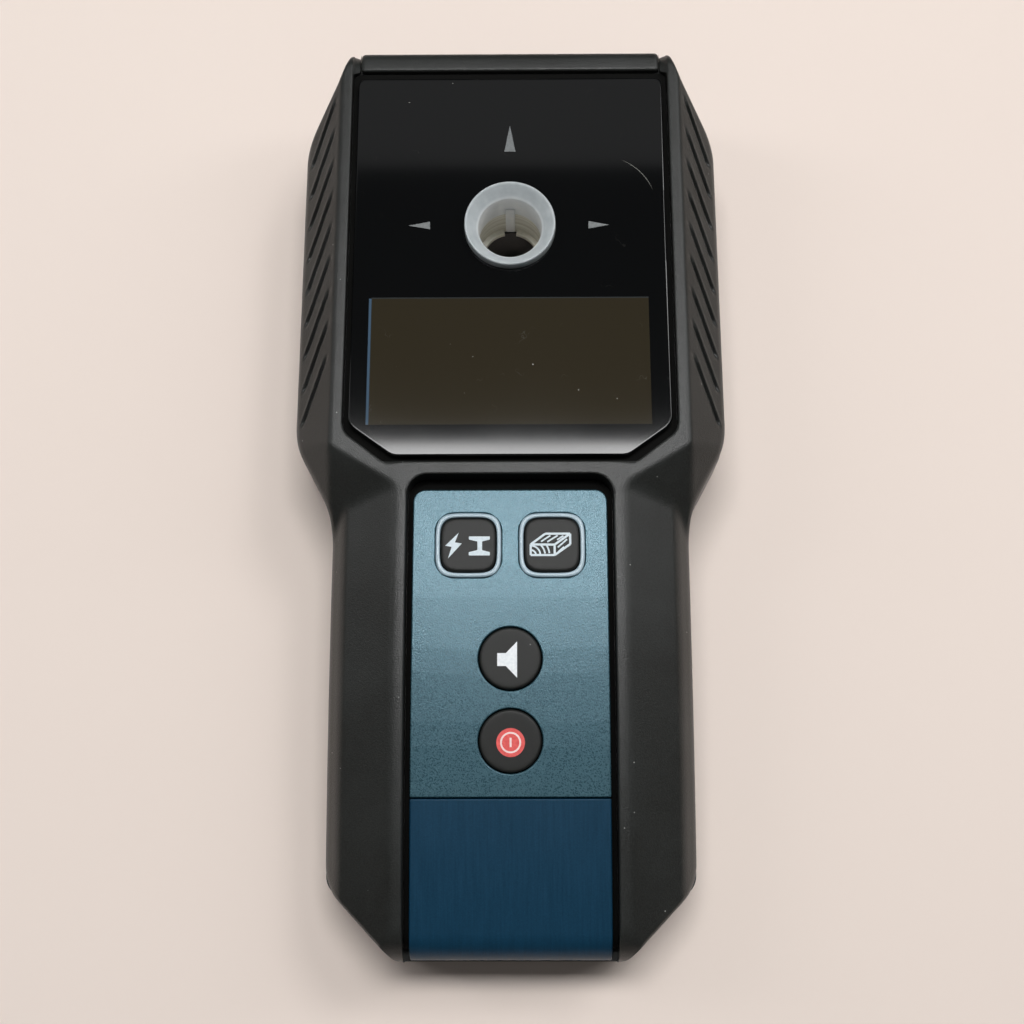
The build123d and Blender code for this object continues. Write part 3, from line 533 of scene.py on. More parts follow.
gripMoulding = mouldedPlastic(paint(27, 28, 26), paint(42, 44, 43), 0.37, 0.30, 0.06)
keyMoulding = mouldedPlastic(paint(20, 21, 20), paint(28, 29, 27), 0.5, 0.4, 0.012, 0.03, 0.3)
rubberMoulding = mouldedPlastic(paint(5, 5, 4), paint(12, 12, 11), 0.85, 0.5, 0.02, 0.04, 0.12)
whiteMoulding = plainMoulded(paint(196, 198, 198), paint(222, 224, 222), 0.45)
finishes = {
    "housing_plastic": makeFinish("gripPlastic", gripMoulding),
    "window_glass": makeFinish("windowGlass", glass),
    "lcd": makeFinish("screen", plainMoulded(paint(44, 40, 30), paint(56, 50, 38), 0.2)),
    "light_guide": makeFinish("lightGuide", lightGuide),
    "cream_plastic": makeFinish("creamSleeve", creamSleeve),
    "panel_metallic": makeFinish("panelLacquer", panelMetallic),
    "cover_blue": makeFinish("coverLacquer", coverBlue),
    "key_black": makeFinish("keyBlack", keyMoulding),
    "key_ring": makeFinish("keyRing", plainMoulded(paint(150, 172, 184), paint(168, 188, 198), 0.32)),
    "rubber_black": makeFinish("rubberBlack", rubberMoulding),
    "circuit_board": makeFinish("circuitBoard", circuit),
    "copper_wire": makeFinish("windings", windings),
    "steel": makeFinish("platedSteel", brushedMetal(paint(150, 152, 154), paint(198, 200, 202))),
    "cell_case": makeFinish("cellWrap", cellWrap),
    "white_plastic": makeFinish("whitePlastic", whiteMoulding),
    "felt": makeFinish("feltPad", feltPad),
    "label_film": makeFinish("labelFilm", labelFilm),
    "flex_film": makeFinish("flexFilm", plainMoulded(paint(150, 84, 22), paint(186, 116, 40), 0.25)),
    "led_lens": makeFinish("ledLens", plainMoulded(paint(216, 214, 196), paint(236, 234, 222), 0.15)),
}
iconInk = makeFinish("iconInk", mark(paint(188, 202, 210), paint(206, 218, 224)))
soundInk = makeFinish("soundInk", mark(paint(222, 228, 232), paint(238, 242, 244)))
powerInk = makeFinish("powerInk", mark(paint(214, 70, 68), paint(234, 92, 88)))
powerRing = makeFinish("powerRing", mark(paint(238, 206, 204), paint(250, 226, 222)))
arrowInk = makeFinish("arrowInk", mark(paint(92, 96, 97), paint(112, 116, 117)))
slotOf = {row["node"]: row["material_slot"] for row in frame["record"]["subparts"]}
for nodeName, nodeObject in nodes.items():
    nodeObject.data.materials.clear()
    nodeObject.data.materials.append(finishes[slotOf[nodeName]])
print("finishes made:", len(finishes))


shellLow, shellHigh = boxOf("front_housing")
grip = {
    "top": shellHigh[1],
    "end": shellLow[1],
    "rim": 30.0,             # height of the flat rim
    "split": shellLow[2],
    "headHalf": shellHigh[0],
    "cornerY": 23.0,         # where the long top corners start
    "rimHalf": 35.2,         # where the rim turns down into the head's sides
    "shoulder": -43.9,       # where the head starts to draw in
    "neck": -58.0,           # where the handle starts
    "handleHalf": 35.5,
    "endChamfer": 14.0,      # length of the handle's cut corners
    "bow": 450.0,            # radius on which the handle's front bows away
    "sideSlope": 9.0 / 8.2,  # fall of the head's sides
    "stripHalf": 22.0,       # outer edge of the flat strip beside the keys
    "slope": 6.0 / 10.6,     # fall of the handle's slope from there
    "slopeHalf": 32.6,       # where that slope turns steep
    "steep": 1.7,            # fall of the steep outer strip
    "openHalf": 33.0,        # half width of the window opening
    "openCut": (24.7, -43.8, -50.2),  # x where the cut corner ends, and its two places along Y
    "recessHalf": 20.0,      # half width of the key recess
    "recessTop": -52.7,
    "recessRound": 4.0,
    "recessDepth": 5.0,      # from the skin down to the recess's lower edge
    "recessLow": -138.6,     # where the recess's floor ends
    "ledgeZ": (25.9, 27.5),  # the shelf under the window's gasket
    "ledgeWidth": 2.8,
    "wall": 2.4,
    "blend": 0.7,            # width of the soft turn between two planes
    "endRound": 7.0,         # rounding of the handle's end
    "tipRound": 4.2,         # rounding of the rails' tips
    "tipInner": 31.62,       # the rails' tips reach in to the bumper
    "tipStart": 36.2,
    "tipFall": 0.7,          # slope of the tips' inner part
    "shoulderPlane": ((0.889, -0.459), 58.73, 22.0, 1.35),    # as planeZ takes them
    "slantPlane": ((0.518, -0.855), 58.1003, 30.0, 0.75),
}
grooves = {
    "count": 9,
    "innerTop": (36.4, 30.5),    # first groove, in plan
    "outerEnd": (41.9, 17.3),
    "pitch": 7.22,
    "halfWidth": 0.46,
    "depth": 0.95,
    "lip": 0.16,
    "lipWidth": 0.22,
    "start": (-0.4, 3.2),    # where a groove fades in, along it from its upper end
    "finish": (-1.6, 0.9),   # and out, from its lower end
}


def skinZ(y):
    # the handle's front: flat to the neck, then a circle of radius bow
    return grip["rim"] - grip["bow"] + np.sqrt(grip["bow"] ** 2 - np.clip(grip["neck"] - y, 0, None) ** 2)


def grooveField(x, y):
    # V cuts, leaning in plan, that fade at both ends and have a low lip on their upper side
    start, end = np.array(grooves["innerTop"]), np.array(grooves["outerEnd"])
    run = np.linalg.norm(end - start)
    ahead = (end - start) / run
    change = np.zeros_like(x)
    for i in range(grooves["count"]):
        dx, dy = x - start[0], y - (start[1] - i * grooves["pitch"])
        far = dx * ahead[0] + dy * ahead[1]
        off = dx * -ahead[1] + dy * ahead[0]
        fadeOut = ease(far, run + grooves["finish"][0], run + grooves["finish"][1])
        fade = ease(far, *grooves["start"]) * (1 - fadeOut)
        cut = np.clip(1 - np.abs(off) / grooves["halfWidth"], 0, 1)
        lip = np.exp(-(((off - grooves["halfWidth"] * 1.3) / grooves["lipWidth"]) ** 2))
        change += fade * (grooves["lip"] * lip - grooves["depth"] * cut * (1.3 - 0.3 * cut))
    return change


def openDistance(x, y):
    # distance outside the window opening, taken as the largest of three straight edges
    cutX, cutHigh, cutLow = grip["openCut"]
    run = np.hypot(grip["openHalf"] - cutX, cutHigh - cutLow)
    normal = ((cutHigh - cutLow) / run, -(grip["openHalf"] - cutX) / run)
    slanted = (x - grip["openHalf"]) * normal[0] + (y - cutHigh) * normal[1]
    return softMax(softMax(x - grip["openHalf"], slanted, 1.6), cutLow - y, 0.6)


def recessDistance(x, y):
    # distance outside the key recess, a slot with rounded upper corners
    round_ = grip["recessRound"]
    dx, dy = x - grip["recessHalf"] + round_, y - grip["recessTop"] + round_
    return np.hypot(np.clip(dx, 0, None), np.clip(dy, 0, None)) - round_ + np.minimum(np.maximum(dx, dy), 0)


def planeZ(x, y, plane):
    # a plane that falls away from a line: the way it falls, the line's distance, height there, slope
    (wayX, wayY), distance, height, slope = plane
    return height - slope * (x * wayX + y * wayY - distance)


def shellZ(x, y, outer):
    # head and handle are each the lowest of their planes; the shell is the higher of the two
    blend = grip["blend"]
    skin = skinZ(y)
    side = grip["rim"] - (x - grip["rimHalf"]) * grip["sideSlope"]
    head = softMin(skin, side, blend)
    for plane in ("shoulderPlane", "slantPlane"):
        head = softMin(head, planeZ(x, y, grip[plane]), blend)
    slope = skin - (x - grip["stripHalf"]) * grip["slope"]
    steep = skin - 6.0 - (x - grip["slopeHalf"]) * grip["steep"]
    handle = softMin(softMin(skin, slope, blend), steep, 1.6 * blend)
    height = softMax(head, handle, 1.2)
    height = height + grooveField(x, y)
    height = height - edgeDrop(outer, 0.9)
    height = height - edgeDrop(openDistance(x, y), 0.4) - edgeDrop(recessDistance(x, y), 0.4)
    height = softMin(height, skin - edgeDrop(y - grip["end"], grip["endRound"]), 0.4)
    height = height - edgeDrop(grip["top"] - y, grip["tipRound"])
    height = height - grip["tipFall"] * np.clip(grip["openHalf"] - x, 0, None) * (y > 0)
    return np.maximum(height, grip["split"] + 0.5)


def flank():
    # one side of the shell: each row is a closed loop over the rim, down the wall and back inside
    cutX, cutHigh, cutLow = grip["openCut"]
    outline = rounded(
        [
            (32.3, grip["top"]), (33.6, grip["top"]), (34.6, 37.6), (36.1, 34.3),
            (grip["headHalf"], grip["cornerY"]), (grip["headHalf"], grip["shoulder"]),
            (35.9, grip["neck"]), (grip["handleHalf"], grip["neck"] - 5),
            (grip["handleHalf"], grip["end"] + grip["endChamfer"]),
            (21.6, grip["end"] + 0.3), (20.1, grip["end"]),
        ],
        (0, 1.2, 2.0, 1.6, 4, 4, 4, 2, 4, 1.0, 0), 9, closed=False)
    total = lengthOf(outline)
    headRun, jointRun = 106.5, 6.2   # lengths of outline beside the window and beside the joint
    grooveRun = 94                   # the length that holds the grooves, which takes finer steps
    fine = np.linspace(0, grooveRun, 460)
    stations = np.r_[fine, np.linspace(grooveRun, headRun, 42)[1:]]
    jointSteps = 16
    jointStations = np.linspace(headRun, headRun + jointRun, jointSteps + 1)[1:]
    handleStations = np.linspace(headRun + jointRun, total, 190)[1:]
    outerPath = along(outline, np.r_[stations, jointStations, handleStations])
    tip, rail = grip["tipInner"], grip["openHalf"]
    corners = [(tip, grip["top"]), (tip, grip["tipStart"]), (rail, grip["tipStart"] - 0.9)]
    openPath = rounded(corners + [(rail, cutHigh), (cutX, cutLow)], (0, 0.5, 0.5, 2.2, 0), 9, closed=False)
    headRows = outerPath[: len(stations)]
    headY = -headRows[:, 1]
    level = np.interp(headY, [-grip["top"], 40, headY[-1]], [-grip["top"], 40, -cutLow])
    openRun = np.interp(level, -openPath[:, 1], runsOf(openPath))
    jointEnd = np.array([grip["recessHalf"], grip["recessTop"] - grip["recessRound"]])
    share = np.linspace(0, 1, jointSteps + 1)[1:, None]
    joint = np.array([cutX, cutLow]) * (1 - share) + jointEnd * share
    handleRows = outerPath[len(stations) + jointSteps:]
    rowY = handleRows[:, 1]
    handleY = np.interp(rowY, [grip["end"], -75, rowY[0]], [grip["end"], -75, jointEnd[1] - 0.4])
    handleInner = np.stack([np.full(len(handleRows), grip["recessHalf"]), handleY], -1)
    innerPath = np.concatenate([along(openPath, openRun), joint, handleInner])
    creaseAt = -np.array([grip["top"], -40, -46.5, -52.5, -58.5, grip["end"]])
    creaseX = [grip["rimHalf"], grip["rimHalf"], 33.2, 27.0, grip["stripHalf"], grip["stripHalf"]]
    creaseY = [grip["top"], -40, -47.9, -51.6, -57.6, grip["end"]]
    crease = np.stack([np.interp(-outerPath[:, 1], creaseAt, way) for way in (creaseX, creaseY)], -1)
    limit = innerPath[:, :1] * 0.35 + outerPath[:, :1] * 0.65
    crease[:, :1] = np.minimum(crease[:, :1], limit)
    near = np.sin(np.linspace(-np.pi / 2, np.pi / 2, 12))[None, :, None] / 2 + 0.5
    edgeStart = 0.93  # share of the way out where the rounded edge takes finer steps
    fineEdge = edgeStart + (1 - edgeStart) * np.sin(np.linspace(0, np.pi / 2, 7))[1:]
    far = np.r_[np.linspace(0, edgeStart, 44), fineEdge][None, 1:, None]
    plan = np.concatenate([
        innerPath[:, None] * (1 - near) + crease[:, None] * near,
        crease[:, None] * (1 - far) + outerPath[:, None] * far,
    ], 1)
    outer = np.linalg.norm(plan - outerPath[:, None], axis=2)
    height = shellZ(plan[..., 0], plan[..., 1], outer)
    top = np.concatenate([plan, height[..., None]], 2)
    edge = top[:, -1:]
    drop = np.array([0.25, 0.5, 0.75, 1.0])[None, :, None]
    foot = edge * (1, 1, 0) + (0, 0, grip["split"] + 0.2)
    wallDown = edge * (1 - drop) + foot * drop
    inward = innerPath - outerPath
    inward = inward / np.linalg.norm(inward, axis=1, keepdims=True)
    width = np.linalg.norm(innerPath - outerPath, axis=1, keepdims=True)
    splitColumn = np.full((len(outerPath), 1), grip["split"])
    lip = np.concatenate([outerPath + inward * 0.2, splitColumn], 1)[:, None]
    inset = np.minimum(grip["wall"], width * 0.8)
    innerFoot = np.concatenate([outerPath + inward * inset, splitColumn], 1)[:, None]
    back = np.linspace(0, 1, 7)[None, :, None]
    underPlan = (outerPath + inward * inset)[:, None] * (1 - back) + innerPath[:, None] * back
    underZ = shellZ(underPlan[..., 0], underPlan[..., 1], 9 + 0 * underPlan[..., 0]) - grip["wall"]
    underZ = np.maximum(underZ, grip["split"] + 0.4)
    depth = underDepth(innerPath)
    underZ = underZ * (1 - back[..., 0]) + depth[:, None] * back[..., 0]
    under = np.concatenate([underPlan, underZ[..., None]], 2)
    loops = np.concatenate([top, wallDown, lip, innerFoot, under], 1)
    points, faces = tube(loops)
    columns = loops.shape[1]
    first = len(stations) - 1  # the joint's rows have no inner wall

    def isJointWall(face):
        row, column = divmod(face[0], columns)
        return len(face) == 4 and column == columns - 1 and first <= row < first + jointSteps
    return points, [face for face in faces if not isJointWall(face)]


def betweenFloors(y, share):
    # from just under the window's shelf, at share 0, to the recess's lower edge, at share 1
    shelf = grip["ledgeZ"][1] - 0.1
    return shelf * (1 - share) + (skinZ(y) - grip["recessDepth"]) * share


def underDepth(path):
    # height of the shell's inner lower edge, along the opening and then along the recess
    share = np.clip((grip["openCut"][2] - path[:, 1]) / 6.5, 0, 1)
    return betweenFloors(path[:, 1], share)


def crossBand():
    # the bridge between the window opening and the key recess
    cutX, _, cutLow = grip["openCut"]
    half, round_, top = grip["recessHalf"], grip["recessRound"], grip["recessTop"]
    turn = np.linspace(0, np.pi / 2, 10)
    arc = np.stack([half - round_ + round_ * np.cos(turn), top - round_ + round_ * np.sin(turn)], -1)
    middle = np.linspace(half - round_, -half + round_, 40)[1:-1]
    lower = np.concatenate([arc, np.stack([middle, 0 * middle + top], -1), (arc * (-1, 1))[::-1]])
    upper = np.stack([np.linspace(cutX, -cutX, len(lower)), np.full(len(lower), cutLow)], -1)
    across = np.linspace(0, 1, 17)[None, :, None]
    plan = upper[:, None] * (1 - across) + lower[:, None] * across
    height = shellZ(np.abs(plan[..., 0]), plan[..., 1], 9 + 0 * plan[..., 0])
    below = betweenFloors(plan[..., 1], across[..., 0])
    topRow = np.concatenate([plan, height[..., None]], 2)
    underRow = np.concatenate([plan, below[..., None]], 2)[:, ::-1]
    return sheet(np.concatenate([topRow, underRow], 1), closeColumns=True)


def ledge():
    # the shelf that the window's gasket sits on
    cutX, cutHigh, cutLow = grip["openCut"]
    low, high = grip["ledgeZ"]
    def half(inset):
        x = grip["openHalf"] - inset
        line = [(x, 36), (x, cutHigh + inset * 0.4), (cutX - inset * 0.4, cutLow + inset)]
        return np.array(line + [(-x, y) for x, y in reversed(line)])
    outside, inside = half(-0.6), half(grip["ledgeWidth"])
    levels = [(outside, high), (inside, high), (inside, low), (outside, low)]
    return tube(np.stack([np.concatenate([line, np.full((6, 1), z)], 1) for line, z in levels], 1))


def recessFloor():
    # the bowed floor under the rubber mat
    y = np.linspace(grip["recessTop"] - 0.5, grip["recessLow"], 40)
    half, upper, lower = grip["recessHalf"] + 0.4, -grip["recessDepth"] + 0.15, -6.4
    corners = [(-half, upper), (half, upper), (half, lower), (-half, lower)]
    return tube(np.stack([np.stack([0 * y + x, y, skinZ(y) + z], -1) for x, z in corners], 1))


endWall = {
    "half": 33.9,
    "shelfY": 31.3,          # where the shelf under the bumper starts
    "step": (39.25, 17.88),  # the wall steps in behind the bumper's skirt
    "faceGap": 0.03,         # the end face stays this far behind the rails' ends
}


def topBlock():
    # the end wall under the bumper and the shelf beside it
    low, high = grip["ledgeZ"]
    start, (stepY, stepZ) = endWall["shelfY"], endWall["step"]
    face, inner, foot = grip["top"] - endWall["faceGap"], grip["top"] - grip["wall"], grip["split"]
    corners = [(start, low), (start, high), (stepY, high), (stepY, stepZ), (face, stepZ),
               (face, foot + 0.2), (face - 0.17, foot), (inner, foot), (inner, low)]
    x = np.array([-endWall["half"], endWall["half"]])
    return tube(np.stack([np.stack([x, 0 * x + y, 0 * x + z], -1) for y, z in corners], 1))


side = flank()
makePiece("gripShell", [side, mirrored(side), crossBand(), ledge(), recessFloor(), topBlock()],
          "housing", finishes["housing_plastic"], ["front_housing"], sharp=48)
print("front housing done")

barLow, barHigh = boxOf("top_bumper")
bumper = {"skirt": 1.8, "flange": 1.6, "endRound": 0.9, "outerRound": 2.6}


def barLoop(inset):
    # an L in section: a flange over the rim and a skirt down the end face
    y0, y1 = barLow[1] + inset, barHigh[1] - inset
    z0, z1 = barLow[2] + inset, barHigh[2] - inset
    inY, inZ = barHigh[1] - bumper["skirt"] + inset, barHigh[2] - bumper["flange"] + inset
    corners = [(y0, z1), (y1, z1), (y1, z0), (inY, z0), (inY, inZ), (y0, inZ)]
    return rounded(corners, (0.6, bumper["outerRound"], 0.5, 0.3, 0.2, 0.3), 8)


def barShape():
    # the section carried along X, drawn in at both ends on a quarter ellipse
    turn = np.linspace(0, np.pi / 2, 7)
    reach = barHigh[0] - bumper["endRound"] * (1 - np.sin(turn))
    inset = bumper["endRound"] * 0.6 * (1 - np.cos(turn))
    loops = []
    for x, inward in zip(np.r_[-reach[::-1], reach], np.r_[inset[::-1], inset]):
        section = barLoop(inward)
        loops.append(np.concatenate([np.full((len(section), 1), x), section], 1))
    return tube(np.stack(loops))


makePiece("topBumper", [barShape()], "housing", finishes["housing_plastic"],
          ["top_bumper"])
print("bumper done")

paneLow, paneHigh = boxOf("window")
pane = {
    "hole": 9.37,
    "holeBevel": 0.15,
    "cornerRound": 1.4,
    "bevel": 0.35,
    "bevelFall": ((0.4, 0.04), (0.8, 0.16), (1.0, 0.34)),  # share of the bevel, and its fall there
    "cut": (8.75, 6.4),
}


def paneOutline(inset):
    # the pane: square upper corners slightly rounded, lower corners cut
    half, low, high = paneHigh[0] - inset, paneLow[1] + inset, paneHigh[1] - inset
    cutX, cutY = pane["cut"]
    points = [(half, high), (half, low + cutY), (half - cutX, low),
              (-half + cutX, low), (-half, low + cutY), (-half, high)]
    return rounded(points, (pane["cornerRound"], 1.6, 1.0, 1.0, 1.6, pane["cornerRound"]), 8)


def spread(line, count=360):
    # a closed outline sampled at even distances
    closed = np.concatenate([line, line[:1]])
    return along(closed, np.linspace(0, lengthOf(closed), count, endpoint=False))


def windowPane():
    # rings of points from the hole's foot, over its edge, across the face and down the outer edge
    edge = spread(paneOutline(0.0))
    angle = np.arctan2(edge[:, 1], edge[:, 0])[:, None]
    circle = np.concatenate([np.cos(angle), np.sin(angle)], 1) * pane["hole"]
    inner = edge - edge / np.linalg.norm(edge, axis=1, keepdims=True) * pane["bevel"]
    low, high, small = paneLow[2], paneHigh[2], pane["holeBevel"]
    rings = [(circle, low), (circle, high - small), (circle * (1 + small / pane["hole"]), high)]
    rings += [(circle * (1 - t) + inner * t, high) for t in (0.01, 0.25, 0.5, 0.75, 0.997, 1.0)]
    rings += [(edge * t + inner * (1 - t), high - fall) for t, fall in pane["bevelFall"]]
    rings += [(edge, low)]
    points = np.stack([np.concatenate([line, np.full((len(line), 1), z)], 1) for line, z in rings], 1)
    return sheet(points, closeRows=True, closeColumns=True)


makePiece("windowPane", [windowPane()], "housing", finishes["window_glass"],
          ["window"], sharp=25)


def slab(corners, low, high, place=None):
    # a flat outline given thickness; place turns local points into the object's
    corners = np.array(corners, float)
    rows = np.stack([np.concatenate([corners, np.full((len(corners), 1), z)], 1) for z in (low, high)])
    points, faces = tube(rows)
    return (points if place is None else place(points)), faces


arrows = {
    "height": (-0.01, 0.03),  # from just under the glass's face to the ink's
    "shapes": [
        [(0, 23.0), (-1.15, 16.9), (1.15, 16.9)],
        [(-20.7, 0.2), (-16.3, 1.05), (-16.3, -0.63)],
        [(20.2, 0.2), (16.0, 1.05), (16.0, -0.63)],
    ],
}
inkLow, inkHigh = [paneHigh[2] + level for level in arrows["height"]]
makePiece("directionMarks", [slab(shape, inkLow, inkHigh) for shape in arrows["shapes"]],
          "housing", arrowInk)
print("window done")

ringHigh = boxOf("marking_ring")[1]
ring = {
    "bore": 6.5,
    "lip": 9.25,
    "lipWidth": 0.5,
    "cone": 2.4,              # depth of the cone inside the lip
    "flange": 12.4,
    "flangeZ": (23.8, 25.0),
    "tail": 8.0,
    "tailLow": 22.2,
    "rib": (1.0, 6.1, 6.82),  # half width, and the radii of its face and its root
    "ribZ": (14.8, 24.5),
}


def ringProfile():
    # radius and height: bore, cone, lip, outer wall, flange and tail
    top, tail = ringHigh[2], ring["tailLow"]
    under, over = ring["flangeZ"]
    corners = [
        (ring["bore"], tail), (ring["bore"], top - ring["cone"]),
        (ring["lip"] - ring["lipWidth"], top - 0.15), (ring["lip"] - 0.2, top),
        (ring["lip"], top - 0.2), (ring["lip"], over), (ring["flange"], over), (ring["flange"], under),
        (ring["tail"], under), (ring["tail"], tail),
    ]
    return rounded(corners, (0.25, 0.25, 0.12, 0.12, 0.12, 0.2, 0.2, 0.2, 0.2, 0.2), 5)


def ribBlock():
    # the upright rib in the bore, rounded on its face
    half, inner, outer = ring["rib"]
    plan = rounded([(-half, outer), (-half, inner), (half, inner), (half, outer)], (0, 0.35, 0.35, 0), 6)
    return slab(plan, *ring["ribZ"])


makePiece("markingRing", [lathe(ringProfile(), 160), ribBlock()], "housing",
          finishes["light_guide"], ["marking_ring"], sharp=50)

sleeveLow, sleeveHigh = boxOf("hole_sleeve")
sleeve = {
    "wall": (6.9, 8.2),
    "lip": 5.8,
    "lipHigh": 1.2,
    "flange": 10.2,
    "flangeZ": (20.4, 21.6),
    "notch": 12.0,            # half angle of the gap in the lip
}


def sleeveShape():
    # a turned wall with a flange, and a lip at its foot with a gap in it
    low, high = sleeveLow[2], sleeveHigh[2]
    inner, outer = sleeve["wall"]
    under, over = sleeve["flangeZ"]
    corners = [(inner, low), (outer, low), (outer, under), (sleeve["flange"], under),
               (sleeve["flange"], over), (outer, over), (outer, high), (inner, high)]
    body = lathe(rounded(corners, 0.15, 4), 128)
    notch = math.radians(sleeve["notch"])
    turn = np.linspace(np.pi / 2 + notch, np.pi * 2.5 - notch, 120)[:, None]
    lipX, lipTop, root = sleeve["lip"], low + sleeve["lipHigh"], inner + 0.1
    section = [(lipX, low), (lipX, lipTop), (root, lipTop), (root, low)]
    radius, height = rounded(section, (0.3, 0.4, 0, 0), 5).T
    points = np.stack([radius * np.cos(turn), radius * np.sin(turn), height + 0 * turn], -1)
    return [body, tube(points)]


makePiece("holeSleeve", sleeveShape(), "housing", finishes["cream_plastic"],
          ["hole_sleeve"], sharp=50)
print("ring done")


def softCopy(node, name, width, angle=30, segments=3):
    # the CAD solid welded, its flat faces joined, and its sharp edges rounded
    mesh = nodes[node].data.copy()
    mesh.name = name
    work = bmesh.new()
    work.from_mesh(mesh)
    bmesh.ops.remove_doubles(work, verts=work.verts, dist=0.004 * mm)
    bmesh.ops.dissolve_limit(work, angle_limit=math.radians(0.6), verts=work.verts, edges=work.edges)
    bmesh.ops.recalc_face_normals(work, faces=work.faces)
    work.to_mesh(mesh)
    work.free()
    mesh.shade_smooth()
    mesh.set_sharp_from_angle(angle=math.radians(angle))
    made = bpy.data.objects.new(name, mesh)
    bpy.context.scene.collection.objects.link(made)
    bevel = made.modifiers.new("edges", "BEVEL")
    bevel.width, bevel.segments, bevel.limit_method = width * mm, segments, "ANGLE"
    bevel.angle_limit = math.radians(angle)
    bevel.harden_normals = True
    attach(made, frame["nodes"][node]["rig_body"])
    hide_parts(node)
    return made


softCopy("keypad_panel", "keyPanel", 0.28)
softCopy("lower_cover", "lowerCover", 0.28)
print("panels done")

keys = {
    "places": {  # where each key's middle stands on the handle's front
        "live_metal_button": (-8.05, -66.5),
        "wood_button": (8.05, -66.5),
        "sound_button": (0.0, -88.5),
        "power_button": (0.0, -103.9),
    },
    "modeHalf": 5.28,
    "modePower": 4.2,        # how square the mode keys are; 2 is a circle
    "roundHalf": 5.85,
    "face": -1.8,            # heights from the handle's front
    "foot": -3.4,
    "stem": (1.6, 1.6),      # radius and length of the stem under the key
    "ring": (5.5, 6.34),     # inner and outer half width of the ring round a mode key
    "ringZ": (-4.0, -1.98),
}


def onFront(x, y):
    # puts local points on the handle's bowed front: local Z is the front's normal at y
    lean = math.asin(max(0.0, grip["neck"] - y) / grip["bow"])
    def place(points):
        u, v, w = np.asarray(points, float).T
        return np.stack([
            x + u,
            y + v * math.cos(lean) - w * math.sin(lean),
            skinZ(np.array(y)) + v * math.sin(lean) + w * math.cos(lean),
        ], -1)
    return place


def squircle(half, power, count=96):
    # |x|^p + |y|^p = half^p, at even angles
    turn = np.linspace(0, 2 * np.pi, count, endpoint=False)
    c, s = np.cos(turn), np.sin(turn)
    size = half / (np.abs(c) ** power + np.abs(s) ** power) ** (1 / power)
    return np.stack([size * c, size * s], -1)


def rings(profile, power, place, closed=False):
    # the outline at each (half width, height) of the profile
    points = np.stack([
        np.concatenate([squircle(max(half, 0.001), power), np.full((96, 1), z)], 1) for half, z in profile
    ], 1)
    spots, faces = sheet(points, closeRows=True, closeColumns=closed)
    return place(spots), faces


def cap(half, top, foot):
    # from the middle of the top, over the rounded edge, down the side and back to the middle
    stem, length = keys["stem"]
    face = [(half * share, top) for share in (0, 0.3, 0.6, 0.8)] + [(half - 0.55, top)]
    edge = [(half - 0.3, top - 0.03), (half - 0.12, top - 0.12), (half, top - 0.36), (half, foot)]
    return face + edge + [(stem, foot), (stem, foot - length), (0, foot - length)]


def camelName(name):  # wood_bezel becomes woodBezel
    first, *others = name.split("_")
    return first + "".join(word.capitalize() for word in others)


faceZ = keys["face"]
for body, spot in keys["places"].items():
    square = body in ("live_metal_button", "wood_button")
    half, power = (keys["modeHalf"], keys["modePower"]) if square else (keys["roundHalf"], 2)
    keyShape = rings(cap(half, faceZ + 0.02, keys["foot"]), power, onFront(*spot))
    makePiece(camelName(body.replace("_button", "_key")), [keyShape], body,
              finishes["key_black"], [body], sharp=50)
for body, node in (("live_metal_button", "live_metal_bezel"), ("wood_button", "wood_bezel")):
    (inner, outer), (low, high) = keys["ring"], keys["ringZ"]
    loop = rounded([(inner, low), (inner, high), (outer, high), (outer, low)], (0, 0.34, 0.42, 0), 7)
    frameShape = rings(loop, keys["modePower"], onFront(*keys["places"][body]), closed=True)
    makePiece(camelName(node), [frameShape], "housing", finishes["key_ring"],
              [node], sharp=50)
print("keys done")


def stroke(path, width):
    # a band of even width along a short path, mitred at its bends
    path = np.array(path, float)
    step = np.gradient(path, axis=0)
    step = step / np.linalg.norm(step, axis=1, keepdims=True)
    off = np.stack([-step[:, 1], step[:, 0]], -1) * width / 2
    return np.concatenate([path + off, (path - off)[::-1]])


def arcPath(centre, radius, start, end, steps):
    # points on a circle between two angles in degrees
    turn = np.radians(np.linspace(start, end, steps))
    return np.stack([centre[0] + radius * np.cos(turn), centre[1] + radius * np.sin(turn)], -1)


def inlay(name, body, outlines, ink, low=0.0):
    # ink in the key's face; each outline is a hair higher than the last, so that no two faces meet
    place = onFront(*keys["places"][body])
    foot, top = faceZ + 0.01 + low, faceZ + 0.05 + low
    parts = [slab(line, foot, top + i * 0.0008, place) for i, line in enumerate(outlines)]
    return makePiece(name, parts, body, ink)


bolt = [(-1.88, 2.32), (-4.45, -0.22), (-3.2, -0.44), (-3.87, -2.7), (-1.26, 0.22), (-2.59, 0.44)]
beam = [(0.1, 1.6), (4.15, 1.6), (4.15, 1.0), (2.65, 0.6), (2.65, -1.1), (4.15, -1.5),
        (4.15, -2.15), (0.1, -2.15), (0.1, -1.5), (1.75, -1.1), (1.75, 0.6), (0.1, 1.0)]
inlay("liveMetalIcon", "live_metal_button", [bolt, rounded(beam, 0.14, 3)], iconInk)

